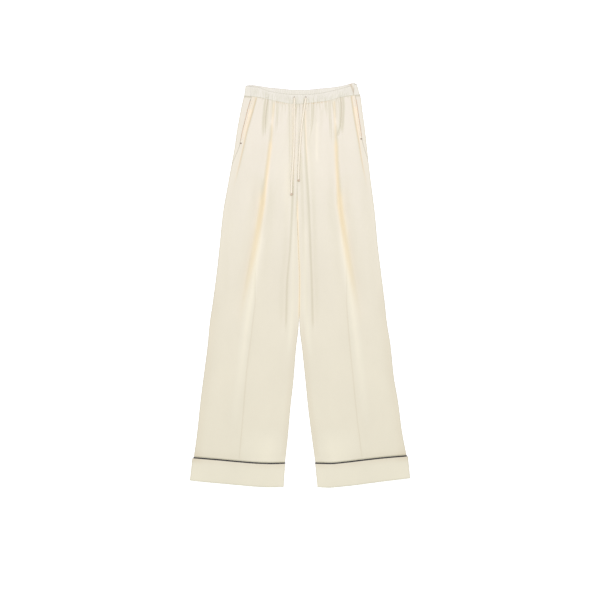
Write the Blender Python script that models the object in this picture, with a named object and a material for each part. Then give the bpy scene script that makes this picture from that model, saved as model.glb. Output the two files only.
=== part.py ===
"""Wide-legged drawstring trousers in ivory satin, laid flat on their back with the front up.

The waist points along +Y, the hems along -Y, and the cloth lies on the plane Z = 0.
Right and left are the wearer's, so the right leg lies on the -X side.
The panels are flattened tubes: each leg has a front and a back, joined at the side seam and the inseam,
and above the crotch at the centre seams. Tables are in millimetres: "down" is measured from the highest
point of the waist towards the hems, and "across" from the centre line towards the wearer's left.
"""

import math
from collections import namedtuple

import bmesh
import bpy
from mathutils import Vector

MM = 0.001

# Cloth and seams
CLOTH_WALL = 1.2
CUFF_WALL = 1.8
BAND_WALL = 2.4
FACING_WALL = 1.0
LAYER_GAP = 0.5
SEAM_GAP = 0.3
WAIST_SEAM_GAP = 0.4
LEG_GAP = 0.35
POCKET_MOUTH_GAP = 1.6

# Folded edges at the two sides of each leg
LEG_EDGE_RADIUS = 2.2
CUFF_EDGE_RADIUS = 2.4
BAND_EDGE_RADIUS = 2.0
EDGE_PUFF_LENGTH = 24.0

# Waistband, piping and drawstring
RUCHES = 42
RUCHE_HEIGHT = 0.9
PIPING_DIAMETER = 2.8
PIPING_GAP = 0.4
PIPING_LIFT = 0.4
PIPING_FLOOR_GAP = 0.2
PIPING_POINTS = 17
PIPING_TURN_POINTS = 6
CORD_DIAMETER = 5.0
KNOT_LENGTH = 6.0
KNOT_WIDTH = 7.6

# The leg's rows are named by how far down its outer edge they start
WAIST_ROW = 38.0
CROTCH_ROW = 358.0
CROTCH_TURN = 20.0

LegRow = namedtuple("LegRow", "outer_down outer inner_down inner")
RIGHT_ROWS = (
    LegRow(38, -154, 59, -1),
    LegRow(80, -164, 94, -2),
    LegRow(129, -173, 140, -3),
    LegRow(184, -181, 195, -4),
    LegRow(239, -191, 250, -6),
    LegRow(294, -201, 305, -7),
    LegRow(358, -212, 363, -8),
    LegRow(446, -221, 459, -4),
    LegRow(528, -230, 544, -1),
    LegRow(610, -241, 627, -2),
    LegRow(657, -248, 671, -4),
    LegRow(720, -254, 734, -11),
    LegRow(806, -265, 820, -18),
    LegRow(877, -274, 891, -26),
    LegRow(954, -282, 971, -33),
    LegRow(1030, -292, 1043, -41),
)
LEFT_ROWS = (
    LegRow(38, 166, 59, -1),
    LegRow(80, 172, 94, -2),
    LegRow(129, 179, 140, -3),
    LegRow(184, 185, 195, -4),
    LegRow(239, 191, 250, -6),
    LegRow(294, 198, 305, -7),
    LegRow(358, 206, 363, -8),
    LegRow(446, 214, 459, -4),
    LegRow(528, 224, 544, -1),
    LegRow(610, 234, 627, -2),
    LegRow(657, 239, 671, -1),
    LegRow(720, 249, 734, 6),
    LegRow(806, 258, 820, 15),
    LegRow(877, 270, 891, 22),
    LegRow(954, 280, 971, 32),
    LegRow(1026, 293, 1043, 42),
)
# The cuff flares a little past the leg: its top row and its hem
RIGHT_CUFF = (LegRow(1032, -296, 1045, -41), LegRow(1092, -303, 1110, -45))
LEFT_CUFF = (LegRow(1027, 297, 1045, 42), LegRow(1086, 303, 1110, 48))

# How far the side seam lies in from the outer edge, on the front, by leg row
SeamPlace = namedtuple("SeamPlace", "row inset")
RIGHT_SEAM = (
    SeamPlace(38, 22.5),
    SeamPlace(77, 19.5),
    SeamPlace(107, 18.0),
    SeamPlace(139, 15.5),
    SeamPlace(165, 14.5),
    SeamPlace(200, 7.5),
    SeamPlace(230, 2.2),
    SeamPlace(260, 1.2),
    SeamPlace(1030, 1.2),
)
LEFT_SEAM = (
    SeamPlace(38, 15.5),
    SeamPlace(71, 13.5),
    SeamPlace(114, 13.0),
    SeamPlace(151, 12.5),
    SeamPlace(190, 6.5),
    SeamPlace(215, 2.2),
    SeamPlace(245, 1.2),
    SeamPlace(1030, 1.2),
)
# The pocket mouth is a slit in the side seam, closed by a bar tack at its foot
RIGHT_MOUTH = (46.0, 162.0)
LEFT_MOUTH = (46.0, 150.0)
MOUTH_TAPER = 8.0

# The lines of the waist, from the right edge to the left one
EdgePlace = namedtuple("EdgePlace", "across down")
FRONT_TOP = (
    EdgePlace(-150, 8),
    EdgePlace(-135, 10),
    EdgePlace(-116, 12),
    EdgePlace(-85, 23),
    EdgePlace(-41, 30),
    EdgePlace(-14, 32),
    EdgePlace(14, 32),
    EdgePlace(50, 29),
    EdgePlace(82, 23),
    EdgePlace(116, 15),
    EdgePlace(143, 7),
    EdgePlace(157, 4),
)
FRONT_LOW = (
    EdgePlace(-154, 36),
    EdgePlace(-121, 39),
    EdgePlace(-88, 46),
    EdgePlace(-52, 53),
    EdgePlace(-14, 59),
    EdgePlace(14, 57),
    EdgePlace(50, 53),
    EdgePlace(80, 49),
    EdgePlace(113, 40),
    EdgePlace(143, 35),
    EdgePlace(165, 33),
)
BACK_TOP = (
    EdgePlace(-150, 8),
    EdgePlace(-132, 6),
    EdgePlace(-116, 8),
    EdgePlace(-82, 13),
    EdgePlace(-50, 16),
    EdgePlace(-16, 19),
    EdgePlace(16, 19),
    EdgePlace(50, 16),
    EdgePlace(82, 13),
    EdgePlace(116, 8),
    EdgePlace(132, 4),
    EdgePlace(148, 0),
    EdgePlace(157, 4),
)
BACK_LOW = (
    EdgePlace(-154, 36),
    EdgePlace(-116, 38),
    EdgePlace(-50, 44),
    EdgePlace(0, 46),
    EdgePlace(50, 44),
    EdgePlace(116, 36),
    EdgePlace(165, 33),
)
BAND_SEAM_RIGHT = -135.0
BAND_SEAM_LEFT = 148.0
BAND_CORNERS = (EdgePlace(-150, 8), EdgePlace(157, 4))
BAND_FEET = (EdgePlace(-154, 36), EdgePlace(165, 33))

# The seam above each cuff, where the piping lies
RIGHT_PIPING = (
    EdgePlace(-293, 1030),
    EdgePlace(-234, 1035),
    EdgePlace(-173, 1040.5),
    EdgePlace(-113, 1045),
    EdgePlace(-80, 1046),
    EdgePlace(-41, 1045),
)
LEFT_PIPING = (
    EdgePlace(42, 1045),
    EdgePlace(82, 1046),
    EdgePlace(124, 1042.5),
    EdgePlace(179, 1036),
    EdgePlace(234, 1030),
    EdgePlace(293, 1025),
)

# The hem, at the foot of each cuff
RIGHT_HEM = (
    EdgePlace(-303, 1092),
    EdgePlace(-258, 1097),
    EdgePlace(-214, 1101),
    EdgePlace(-170, 1105),
    EdgePlace(-126, 1109),
    EdgePlace(-82, 1111),
    EdgePlace(-45, 1110),
)
LEFT_HEM = (
    EdgePlace(47, 1110),
    EdgePlace(77, 1112),
    EdgePlace(121, 1108.5),
    EdgePlace(165, 1103.5),
    EdgePlace(209, 1097.5),
    EdgePlace(253, 1092),
    EdgePlace(303, 1086),
)

# How far the front stands off the back between its folds
Puff = namedtuple("Puff", "down height")
PUFFS = (
    Puff(0, 2.8),
    Puff(60, 3.2),
    Puff(150, 4.4),
    Puff(330, 4.8),
    Puff(500, 4.4),
    Puff(700, 3.6),
    Puff(900, 3.2),
    Puff(990, 3.4),
    Puff(1015, 3.2),
    Puff(1030, 2.5),
    Puff(1050, 2.6),
    Puff(1080, 2.4),
    Puff(1111, 1.0),
)

# The line of each leg's main pleat, which runs down into the pressed crease
RIGHT_PLEAT = (
    (60, -74),
    (140, -76),
    (250, -89),
    (418, -106),
    (591, -121),
    (803, -147),
    (1031, -167),
)
LEFT_PLEAT = (
    (58, 95),
    (135, 96),
    (179, 97),
    (330, 106),
    (514, 121),
    (707, 135),
    (817, 146),
    (1028, 170),
)

# Folds and gathers of the front. A negative rise is a valley. The two widths are those of the fold's
# slopes towards the wearer's right and left, and it grows and dies away over the two lengths.
Fold = namedtuple("Fold", "path rise right_width left_width grow die")
FOLDS = (
    # Beside the right pocket: the groove at its mouth, and the fold that runs on below it
    Fold(((42, -127), (77, -136), (107, -145), (139, -153), (200, -168)), -1.2, 4, 4, 10, 60),
    Fold(
        ((48, -117), (107, -135), (135, -143), (181, -153), (253, -170), (300, -183)),
        1.4, 4, 14, 10, 120,
    ),
    # Gathers between the right pocket and the main pleat
    Fold(((45, -89), (69, -93), (102, -96), (160, -98)), -2.6, 5, 4, 8, 60),
    Fold(((50, -82), (102, -86), (150, -88)), 1.4, 4, 5, 10, 60),
    # The right main pleat: a steep edge above, and a rounder one further down, with its valley outside
    Fold(RIGHT_PLEAT[1:5], 4.4, 5, 30, 50, 280),
    Fold(((330, -98), (418, -106), (591, -121), (803, -147)), 3.4, 17, 24, 120, 330),
    Fold(
        ((135, -80), (160, -81.5), (220, -89.5), (300, -104), (380, -119), (460, -135)),
        -3.2, 20, 6, 40, 160,
    ),
    Fold(((330, -109), (380, -119), (460, -135), (560, -156), (720, -186)), -3.4, 24, 10, 90, 260),
    # Gathers between the right main pleat and the drawstring
    Fold(((55, -62), (110, -64), (170, -70)), -1.4, 4, 4, 8, 90),
    Fold(((58, -44), (130, -42), (250, -45)), 1.2, 11, 11, 10, 140),
    Fold(((60, -26), (150, -25), (290, -26)), -1.2, 4, 4, 8, 120),
    # The right inner leg: a crease down from the fork, and the roll beside it
    Fold(((290, -22), (459, -30), (542, -38), (674, -42), (740, -50)), -3.0, 10, 4, 90, 120),
    Fold(((320, -14), (459, -18), (542, -20), (660, -24), (780, -37)), 2.0, 12, 8, 60, 160),
    # Beside the left pocket
    Fold(((38, 146), (71, 152), (114, 159), (151, 165), (190, 172)), -1.2, 4, 4, 10, 60),
    Fold(((46, 138), (104, 148), (154, 157), (193, 163), (233, 170), (300, 183)), 1.4, 14, 4, 10, 120),
    # Gathers between the left main pleat and the left pocket
    Fold(((38, 112), (69, 115), (102, 114), (150, 112)), -2.6, 4, 5, 8, 50),
    Fold(((48, 104), (102, 106), (150, 104)), 1.4, 5, 4, 10, 50),
    # The left main pleat and its valley
    Fold(LEFT_PLEAT[1:5] + ((591, 126.5),), 4.4, 30, 5, 50, 280),
    Fold(((330, 106), (514, 121), (707, 135), (803, 145)), 3.4, 24, 17, 120, 330),
    Fold(
        ((135, 99), (160, 100.7), (220, 103), (300, 109), (380, 122), (460, 138)),
        -3.2, 6, 20, 40, 160,
    ),
    Fold(((330, 112), (380, 122), (460, 138), (560, 157), (720, 186)), -3.4, 10, 24, 90, 260),
    # Gathers between the drawstring and the left main pleat
    Fold(((55, 81), (130, 84), (190, 85)), -1.4, 4, 4, 8, 80),
    Fold(((55, 52), (124, 50), (250, 50)), 1.4, 10, 10, 10, 150),
    Fold(((55, 36), (102, 33), (160, 24)), -1.6, 4, 4, 8, 60),
    # The left inner leg: the crease runs up to the waist
    Fold(
        ((66, 13), (206, 19), (336, 27), (432, 31), (542, 35), (674, 39), (740, 47)),
        -3.0, 4, 10, 60, 120,
    ),
    Fold(((220, 9), (336, 13), (459, 16), (542, 19), (660, 23), (780, 36)), 2.0, 8, 12, 60, 160),
)
LEAST_LIFT = 0.35

# The drawstring's two free ends, from the buttonholes in the front of the band
CordPoint = namedtuple("CordPoint", "across down height")
RIGHT_CORD = (
    CordPoint(-15.5, 44, 9.6),
    CordPoint(-15.6, 52, 9.7),
    CordPoint(-15.8, 62, 9.5),
    CordPoint(-16.0, 80, 9.5),
    CordPoint(-16.0, 105, 9.8),
    CordPoint(-16.0, 130, 10.1),
    CordPoint(-16.4, 160, 10.3),
    CordPoint(-17.6, 190, 10.3),
    CordPoint(-19.6, 222, 10.2),
    CordPoint(-21.6, 252, 9.7),
    CordPoint(-22.8, 280, 9.8),
    CordPoint(-23.3, 304, 10.4),
)
LEFT_CORD = (
    CordPoint(16.0, 44, 9.6),
    CordPoint(14.6, 52, 9.6),
    CordPoint(12.6, 64, 9.3),
    CordPoint(10.0, 82, 9.1),
    CordPoint(6.6, 104, 9.3),
    CordPoint(3.8, 126, 9.9),
    CordPoint(1.6, 150, 10.4),
    CordPoint(-0.6, 180, 10.5),
    CordPoint(-2.4, 212, 10.8),
    CordPoint(-3.4, 240, 10.9),
    CordPoint(-3.9, 266, 11.2),
)

IVORY = (0.86, 0.80, 0.68)
CORD_IVORY = (0.80, 0.72, 0.58)
PIPING_BLACK = (0.03, 0.028, 0.035)

Leg = namedtuple("Leg", "name side rows seam mouth pleat piping cuff hem")
RIGHT = Leg(
    name="right",
    side=-1,
    rows=RIGHT_ROWS,
    seam=RIGHT_SEAM,
    mouth=RIGHT_MOUTH,
    pleat=RIGHT_PLEAT,
    piping=RIGHT_PIPING,
    cuff=RIGHT_CUFF,
    hem=RIGHT_HEM,
)
LEFT = Leg(
    name="left",
    side=1,
    rows=LEFT_ROWS,
    seam=LEFT_SEAM,
    mouth=LEFT_MOUTH,
    pleat=LEFT_PLEAT,
    piping=LEFT_PIPING,
    cuff=LEFT_CUFF,
    hem=LEFT_HEM,
)


def clear_scene():
    for obj in list(bpy.data.objects):
        bpy.data.objects.remove(obj, do_unlink=True)


def material(name, colour, roughness):
    made = bpy.data.materials.new(name)
    made.use_nodes = True
    shader = made.node_tree.nodes["Principled BSDF"]
    shader.inputs["Base Color"].default_value = (*colour, 1.0)
    shader.inputs["Roughness"].default_value = roughness
    shader.inputs["Metallic"].default_value = 0.0
    return made


def smoothstep(t):
    t = min(1.0, max(0.0, t))
    return t * t * (3 - 2 * t)


def smooth_along(knots, values, at):
    """The value of a smooth curve through the knots, which never swings past them."""
    if at <= knots[0]:
        return values[0]
    if at >= knots[-1]:
        return values[-1]
    slopes = [
        (values[i + 1] - values[i]) / (knots[i + 1] - knots[i]) for i in range(len(knots) - 1)
    ]
    k = next(i for i in range(len(slopes)) if at <= knots[i + 1])

    def tangent(i):
        if i in (0, len(slopes)):
            return slopes[min(i, len(slopes) - 1)]
        before, after = slopes[i - 1], slopes[i]
        return 2 * before * after / (before + after) if before * after > 0 else 0.0

    span = knots[k + 1] - knots[k]
    t = (at - knots[k]) / span
    return (
        values[k] * (1 - t) ** 2 * (1 + 2 * t)
        + values[k + 1] * t * t * (3 - 2 * t)
        + span * t * (1 - t) * (tangent(k) * (1 - t) - tangent(k + 1) * t)
    )


def column(table, field):
    return [getattr(row, field) for row in table]


def line_down(line, across):
    """How far down a line of the waist or a cuff seam lies at a place across."""
    return smooth_along(column(line, "across"), column(line, "down"), across)


def path_across(path, down):
    """Where a fold's path lies across, at a distance down."""
    return smooth_along([point[0] for point in path], [point[1] for point in path], down)


def fold_lift(fold, across, down):
    """How far one fold raises the front at a point."""
    start, end = fold.path[0][0], fold.path[-1][0]
    if down < start - fold.grow or down > end:
        return 0.0
    off = across - path_across(fold.path, down)
    width = fold.right_width if off < 0 else fold.left_width
    grown = smoothstep((down - start + fold.grow) / fold.grow)
    dying = smoothstep((end - down) / fold.die)
    return fold.rise * math.exp(-((off / width) ** 2)) * grown * dying


def front_lift(across, down):
    """How far the front stands above lying flat on the back."""
    puff = smooth_along(column(PUFFS, "down"), column(PUFFS, "height"), down)
    lift = puff + sum(fold_lift(fold, across, down) for fold in FOLDS)
    return 0.5 * (lift + math.sqrt(lift * lift + 4 * LEAST_LIFT * LEAST_LIFT))


class Tube:
    """One row of a flattened tube: a leg, or a cuff. Distances along it start at its outer edge."""

    def __init__(self, leg, row, wall, radius, curl):
        self.leg = leg
        self.row = row
        self.radius = radius
        self.floor = wall / 2
        self.rest = wall / 2 + wall + LAYER_GAP
        self.curl = curl * math.pi / 2
        inner_clear = SEAM_GAP / 2 + curl * (wall / 2 + LEG_GAP)
        self.outer = Vector((row.outer - leg.side * wall / 2, row.outer_down))
        self.inner = Vector((row.inner + leg.side * inner_clear, row.inner_down))
        self.width = (self.inner - self.outer).length
        self.quarter = radius * math.pi / 2
        self.inner_start = self.width - radius * math.sin(self.curl)
        self.length = self.quarter + self.inner_start - radius + radius * self.curl

    def place(self, reach):
        """Across and down at a distance from the outer edge, in plan."""
        return self.outer.lerp(self.inner, reach / self.width)

    def along_at(self, across):
        """The distance along the front of a place across, away from the folded edges."""
        share = (across - self.outer.x) / (self.inner.x - self.outer.x)
        return share * self.width - self.radius + self.quarter

    def top_height(self, reach):
        plan = self.place(reach)
        lying = self.rest + front_lift(plan.x, plan.y)
        by_outer = math.exp(-(((reach - self.radius) / EDGE_PUFF_LENGTH) ** 2))
        by_inner = math.exp(-(((self.inner_start - reach) / EDGE_PUFF_LENGTH) ** 2))
        edge_share = 1 - (1 - by_outer) * (1 - by_inner * self.curl / (math.pi / 2))
        edge_top = self.floor + 2 * self.radius
        return lying + (edge_top - lying) * edge_share

    def top(self, along):
        """Reach and height at a distance along the front, from the outer edge to the inner one."""
        if along < self.quarter:
            turn = along / self.radius
            reach = self.radius * (1 - math.cos(turn))
            return reach, self.floor + self.radius * (1 + math.sin(turn))
        curl_start = self.length - self.radius * self.curl
        if along > curl_start:
            turn = (along - curl_start) / self.radius
            reach = self.inner_start + self.radius * math.sin(turn)
            return reach, self.top_height(self.inner_start) - self.radius * (1 - math.cos(turn))
        reach = self.radius + along - self.quarter
        return reach, self.top_height(reach)

    def under(self, along):
        """Reach and height at a distance along the back, from the outer edge to the inner one."""
        if along < self.quarter:
            turn = along / self.radius
            return self.radius * (1 - math.cos(turn)), self.floor + self.radius * (1 - math.sin(turn))
        curl_start = self.length - self.radius * self.curl
        if along > curl_start:
            turn = (along - curl_start) / self.radius
            reach = self.inner_start + self.radius * math.sin(turn)
            return reach, self.floor + self.radius * (1 - math.cos(turn))
        return self.radius + along - self.quarter, self.floor


def leg_row(leg, row_down):
    """The leg's row at a distance down its outer edge."""
    downs = column(leg.rows, "outer_down")
    return LegRow(
        row_down,
        smooth_along(downs, column(leg.rows, "outer"), row_down),
        smooth_along(downs, column(leg.rows, "inner_down"), row_down),
        smooth_along(downs, column(leg.rows, "inner"), row_down),
    )


def leg_tube(leg, row_down):
    curl = smoothstep((row_down - CROTCH_ROW) / CROTCH_TURN)
    return Tube(leg, leg_row(leg, row_down), CLOTH_WALL, LEG_EDGE_RADIUS, curl)


def cuff_tube(leg, share):
    top, hem = leg.cuff
    row = LegRow(*(a + (b - a) * share for a, b in zip(top, hem)))
    return Tube(leg, row, CUFF_WALL, CUFF_EDGE_RADIUS, 1.0)


def seam_inset(leg, row_down):
    return smooth_along(column(leg.seam, "row"), column(leg.seam, "inset"), row_down)


def seam_half_gap(leg, row_down):
    """Half the gap at the side seam, which widens at the pocket mouth."""
    top, foot = leg.mouth
    share = smoothstep((row_down - top) / MOUTH_TAPER) * smoothstep((foot - row_down) / MOUTH_TAPER)
    return (SEAM_GAP + (POCKET_MOUTH_GAP - SEAM_GAP) * share) / 2


def last_leg_row(leg):
    return leg.rows[-1].outer_down


def seam_bow(leg, tube, plan, waist_line):
    """How far a point moves down, so that the leg's ends follow the waist seam and the piping."""
    rows = leg.rows
    row_down = tube.row.outer_down
    share = (plan.x - tube.outer.x) / (tube.inner.x - tube.outer.x)
    from_waist = row_down - rows[0].outer_down
    from_piping = last_leg_row(leg) - row_down
    bow = 0.0
    if from_waist < 60:
        first = leg_tube(leg, rows[0].outer_down)
        straight = first.outer.lerp(first.inner, share)
        wanted = line_down(waist_line, straight.x) + WAIST_SEAM_GAP
        bow += (wanted - straight.y) * (1 - smoothstep(from_waist / 60))
    if from_piping < 60:
        last = leg_tube(leg, last_leg_row(leg))
        straight = last.outer.lerp(last.inner, share)
        wanted = line_down(leg.piping, straight.x) - PIPING_DIAMETER / 2 - PIPING_GAP
        bow += (wanted - straight.y) * (1 - smoothstep(from_piping / 60))
    return bow


def spot(across, down, height):
    """A point in metres, before the part is centred on its origin."""
    return Vector((across, -down, height)) * MM


def front_point(leg, row_down, along):
    tube = leg_tube(leg, row_down)
    reach, height = tube.top(along)
    plan = tube.place(reach)
    return spot(plan.x, plan.y + seam_bow(leg, tube, plan, FRONT_LOW), height)


def back_point(leg, row_down, along):
    """A point of the back. A negative distance is on the front, between the outer edge and the side seam."""
    if along < 0:
        return front_point(leg, row_down, -along)
    tube = leg_tube(leg, row_down)
    reach, height = tube.under(along)
    plan = tube.place(reach)
    return spot(plan.x, plan.y + seam_bow(leg, tube, plan, BACK_LOW), height)


def graded(start, end, count, growth):
    """Places from start to end whose spacing grows by the same ratio each time."""
    steps = [growth**k for k in range(count)]
    places = [start]
    for step in steps:
        places.append(places[-1] + step / sum(steps) * (end - start))
    return places


def between(places, share):
    """The value at a share from 0 to 1 along a list of places."""
    k = min(int(share * (len(places) - 1) + 1e-6), len(places) - 2)
    return places[k] + (places[k + 1] - places[k]) * (share * (len(places) - 1) - k)


def edge_steps(length):
    """Places that take a strip round a folded edge, as distances from its end."""
    return [0.0, length * 0.5, length]


def strip_places(start, end, middle_count, turn):
    """Places across a panel: close together at its two edges, even between them."""
    near = [start + step for step in edge_steps(turn)]
    far = [end - step for step in reversed(edge_steps(turn))]
    gap = (far[0] - near[-1]) / middle_count
    return near + [near[-1] + gap * k for k in range(1, middle_count)] + far


def pleated_places(start, ridge, end, counts, turn):
    """Places across a panel with one on the ridge of its pleat, and closer together beside it."""
    near = [start + step for step in edge_steps(turn)]
    far = [end - step for step in reversed(edge_steps(turn))]
    towards = graded(near[-1], ridge, counts[0], 0.93)
    away = graded(ridge, far[0], counts[1], 1.06)
    return near + towards[1:] + away[1:-1] + far


def solid_from_grid(name, columns, rows, outside, inside, colour):
    """A closed wall: a grid whose two sides are placed by functions of the shares across and down."""
    bm = bmesh.new()
    bmesh.ops.create_grid(bm, x_segments=columns, y_segments=rows, size=0.5)
    grown = bmesh.ops.extrude_face_region(bm, geom=bm.faces[:], use_keep_orig=True)
    lifted = {item for item in grown["geom"] if isinstance(item, bmesh.types.BMVert)}
    for vert in bm.verts:
        across, down = vert.co.x + 0.5, vert.co.y + 0.5
        vert.co = outside(across, down) if vert in lifted else inside(across, down)
    bmesh.ops.recalc_face_normals(bm, faces=bm.faces[:])
    mesh = bpy.data.meshes.new(name)
    bm.to_mesh(mesh)
    bm.free()
    mesh.shade_smooth()
    mesh.set_sharp_from_angle(angle=math.radians(50))
    mesh.materials.append(colour)
    return bpy.data.objects.new(name, mesh)


def wall_sides(surface, facing, out_by, in_by):
    """The two sides of a wall about a surface. facing is 1 or -1, and turns the surface's normal outwards."""
    step = 1e-3

    def normal(u, v):
        u0, u1 = max(0.0, u - step), min(1.0, u + step)
        v0, v1 = max(0.0, v - step), min(1.0, v + step)
        across = surface(u1, v) - surface(u0, v)
        down = surface(u, v1) - surface(u, v0)
        return across.cross(down).normalized() * facing

    def outside(u, v):
        return surface(u, v) + normal(u, v) * out_by(u, v) * MM

    def inside(u, v):
        return surface(u, v) - normal(u, v) * in_by(u, v) * MM

    return outside, inside


def plain(thickness):
    return lambda u, v: thickness


LEG_ROWS_DOWN = graded(0.0, 1.0, 11, 1.14)
LEG_ROWS_BELOW = graded(0.0, 1.0, 12, 1.07)


def leg_row_places(leg):
    """Rows down a leg: graded from the waist to the crotch, one just past it, and graded to the cuff."""
    end = last_leg_row(leg)
    above = [WAIST_ROW + (CROTCH_ROW - WAIST_ROW) * share for share in LEG_ROWS_DOWN]
    turn_end = CROTCH_ROW + CROTCH_TURN
    below = [turn_end + (end - turn_end) * share for share in LEG_ROWS_BELOW]
    return above + [(CROTCH_ROW + turn_end) / 2] + below


def front_panel(leg, cloth):
    rows = leg_row_places(leg)
    counts = (11, 12)

    def surface(u, v):
        row_down = between(rows, v)
        tube = leg_tube(leg, row_down)
        start = seam_inset(leg, row_down) + seam_half_gap(leg, row_down)
        end = tube.length - SEAM_GAP / 2 * smoothstep(tube.curl)
        ridge = tube.along_at(path_across(leg.pleat, row_down))
        places = pleated_places(start, ridge, end, counts, tube.quarter)
        return front_point(leg, row_down, between(places, u))

    sides = wall_sides(surface, leg.side, plain(CLOTH_WALL / 2), plain(CLOTH_WALL / 2))
    return solid_from_grid(f"front_{leg.name}", sum(counts) + 4, len(rows) - 1, *sides, cloth)


def back_panel(leg, cloth):
    rows = leg_row_places(leg)
    middle = 6

    def surface(u, v):
        row_down = between(rows, v)
        tube = leg_tube(leg, row_down)
        inset = seam_inset(leg, row_down) - seam_half_gap(leg, row_down)
        turn = min(tube.quarter, inset / 2)
        wrap = [-inset, -(inset + turn) / 2, -turn, -turn / 2]
        end = tube.length - SEAM_GAP / 2 * smoothstep(tube.curl)
        places = wrap + strip_places(0.0, end, middle, tube.quarter)
        return back_point(leg, row_down, between(places, u))

    sides = wall_sides(surface, -leg.side, plain(CLOTH_WALL / 2), plain(CLOTH_WALL / 2))
    return solid_from_grid(f"back_{leg.name}", middle + 8, len(rows) - 1, *sides, cloth)


def pocket_facing(leg, cloth):
    """The strip of the pocket that shows through its mouth, under the two lips of the side seam."""
    top, foot = leg.mouth
    sunk = CLOTH_WALL / 2 + SEAM_GAP + FACING_WALL / 2 + 0.15
    half_width = 5.0

    def surface(u, v):
        row_down = top + 4 + (foot - top - 4) * v
        along = seam_inset(leg, row_down) + (u - 0.5) * 2 * half_width
        return front_point(leg, row_down, along) - Vector((0, 0, sunk)) * MM

    sides = wall_sides(surface, leg.side, plain(FACING_WALL / 2), plain(FACING_WALL / 2))
    return solid_from_grid(f"pocket_facing_{leg.name}", 3, 7, *sides, cloth)


def ruche(along):
    """The height of the elastic's gathers at a distance along the band, from 0 to RUCHE_HEIGHT."""
    swing = 0.5 + 0.5 * math.cos(2 * math.pi * along)
    uneven = 0.72 + 0.28 * math.sin(along * 1.9) * math.cos(along * 0.77 + 1.0)
    return RUCHE_HEIGHT * swing * uneven


def ruche_fade(v):
    """The gathers are fullest along the middle of the band."""
    return 0.45 + 0.55 * math.sin(math.pi * min(1.0, max(0.0, v)))


def band_front(cloth):
    """The front of the waistband, from side seam to side seam."""
    centre_height = BAND_WALL * 1.5 + LAYER_GAP + RUCHE_HEIGHT
    seam_height = BAND_WALL / 2 + 2 * BAND_EDGE_RADIUS

    def surface(u, v):
        across = BAND_SEAM_RIGHT + SEAM_GAP / 2 + (BAND_SEAM_LEFT - BAND_SEAM_RIGHT - SEAM_GAP) * u
        top = line_down(FRONT_TOP, across)
        low = line_down(FRONT_LOW, across)
        near_seam = smoothstep(1 - min(u, 1 - u) / 0.12)
        height = centre_height + (seam_height - centre_height) * near_seam
        return spot(across, top + (low - top) * v, height)

    def raised(u, v):
        return BAND_WALL / 2 + ruche(u * RUCHES) * ruche_fade(v)

    sides = wall_sides(surface, -1, raised, plain(BAND_WALL / 2))
    return solid_from_grid("waistband_front", RUCHES * 2, 2, *sides, cloth)


def band_back(cloth):
    """The back of the waistband, which comes round both edges to the side seams on the front."""
    radius = BAND_EDGE_RADIUS
    quarter = radius * math.pi / 2
    floor = BAND_WALL / 2
    flat_count = RUCHES * 2
    wrap_count = 6
    turn_count = 4

    def edge(side, v):
        corner, foot = BAND_CORNERS[side], BAND_FEET[side]
        inward = BAND_WALL / 2 * (1 if side == 0 else -1)
        return corner.across + (foot.across - corner.across) * v + inward

    def surface(u, v):
        right, left = edge(0, v), edge(1, v)
        step = u * (2 * wrap_count + 2 * turn_count + flat_count)
        if step <= wrap_count:
            start = BAND_SEAM_RIGHT - SEAM_GAP / 2
            across = start + (right + radius - start) * step / wrap_count
            height = floor + 2 * radius
        elif step <= wrap_count + turn_count:
            turn = (step - wrap_count) / turn_count * math.pi
            across = right + radius * (1 - math.sin(turn))
            height = floor + radius * (1 + math.cos(turn))
        elif step <= wrap_count + turn_count + flat_count:
            share = (step - wrap_count - turn_count) / flat_count
            across = right + radius + (left - right - 2 * radius) * share
            height = floor
        elif step <= wrap_count + 2 * turn_count + flat_count:
            turn = (step - wrap_count - turn_count - flat_count) / turn_count * math.pi
            across = left - radius * (1 - math.sin(turn))
            height = floor + radius * (1 - math.cos(turn))
        else:
            share = (step - wrap_count - 2 * turn_count - flat_count) / wrap_count
            end = BAND_SEAM_LEFT + SEAM_GAP / 2
            across = left - radius + (end - left + radius) * share
            height = floor + 2 * radius
        upper = smoothstep((height - floor) / (2 * radius))
        top = line_down(BACK_TOP, across) * (1 - upper) + line_down(FRONT_TOP, across) * upper
        low = line_down(BACK_LOW, across) * (1 - upper) + line_down(FRONT_LOW, across) * upper
        return spot(across, top + (low - top) * v, height)

    total = 2 * wrap_count + 2 * turn_count + flat_count

    def flat_share(u):
        step = u * total
        on_flat = min(step - wrap_count - turn_count, wrap_count + turn_count + flat_count - step)
        return smoothstep(on_flat / 4)

    def inner_raised(u, v):
        flat_step = u * total - wrap_count - turn_count
        return BAND_WALL / 2 + ruche(flat_step / 2) * ruche_fade(v) * flat_share(u)

    sides = wall_sides(surface, 1, plain(BAND_WALL / 2), inner_raised)
    return solid_from_grid("waistband_back", total, 2, *sides, cloth)


def cuff_panel(leg, part, cloth):
    """The front or the back of a cuff, from the piping to the hem."""
    rows = 3
    middle = 12
    step_down = PIPING_DIAMETER / 2 + PIPING_GAP

    def surface(u, v):
        tube = cuff_tube(leg, v)
        start, end = SEAM_GAP / 2, tube.length - SEAM_GAP / 2
        along = between(strip_places(start, end, middle, tube.quarter), u)
        reach, height = tube.top(along) if part == "front" else tube.under(along)
        across = tube.place(reach).x
        top = line_down(leg.piping, across) + step_down
        return spot(across, top + (line_down(leg.hem, across) - top) * v, height)

    facing = leg.side if part == "front" else -leg.side
    sides = wall_sides(surface, facing, plain(CUFF_WALL / 2), plain(CUFF_WALL / 2))
    return solid_from_grid(f"cuff_{part}_{leg.name}", middle + 4, rows, *sides, cloth)


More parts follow.
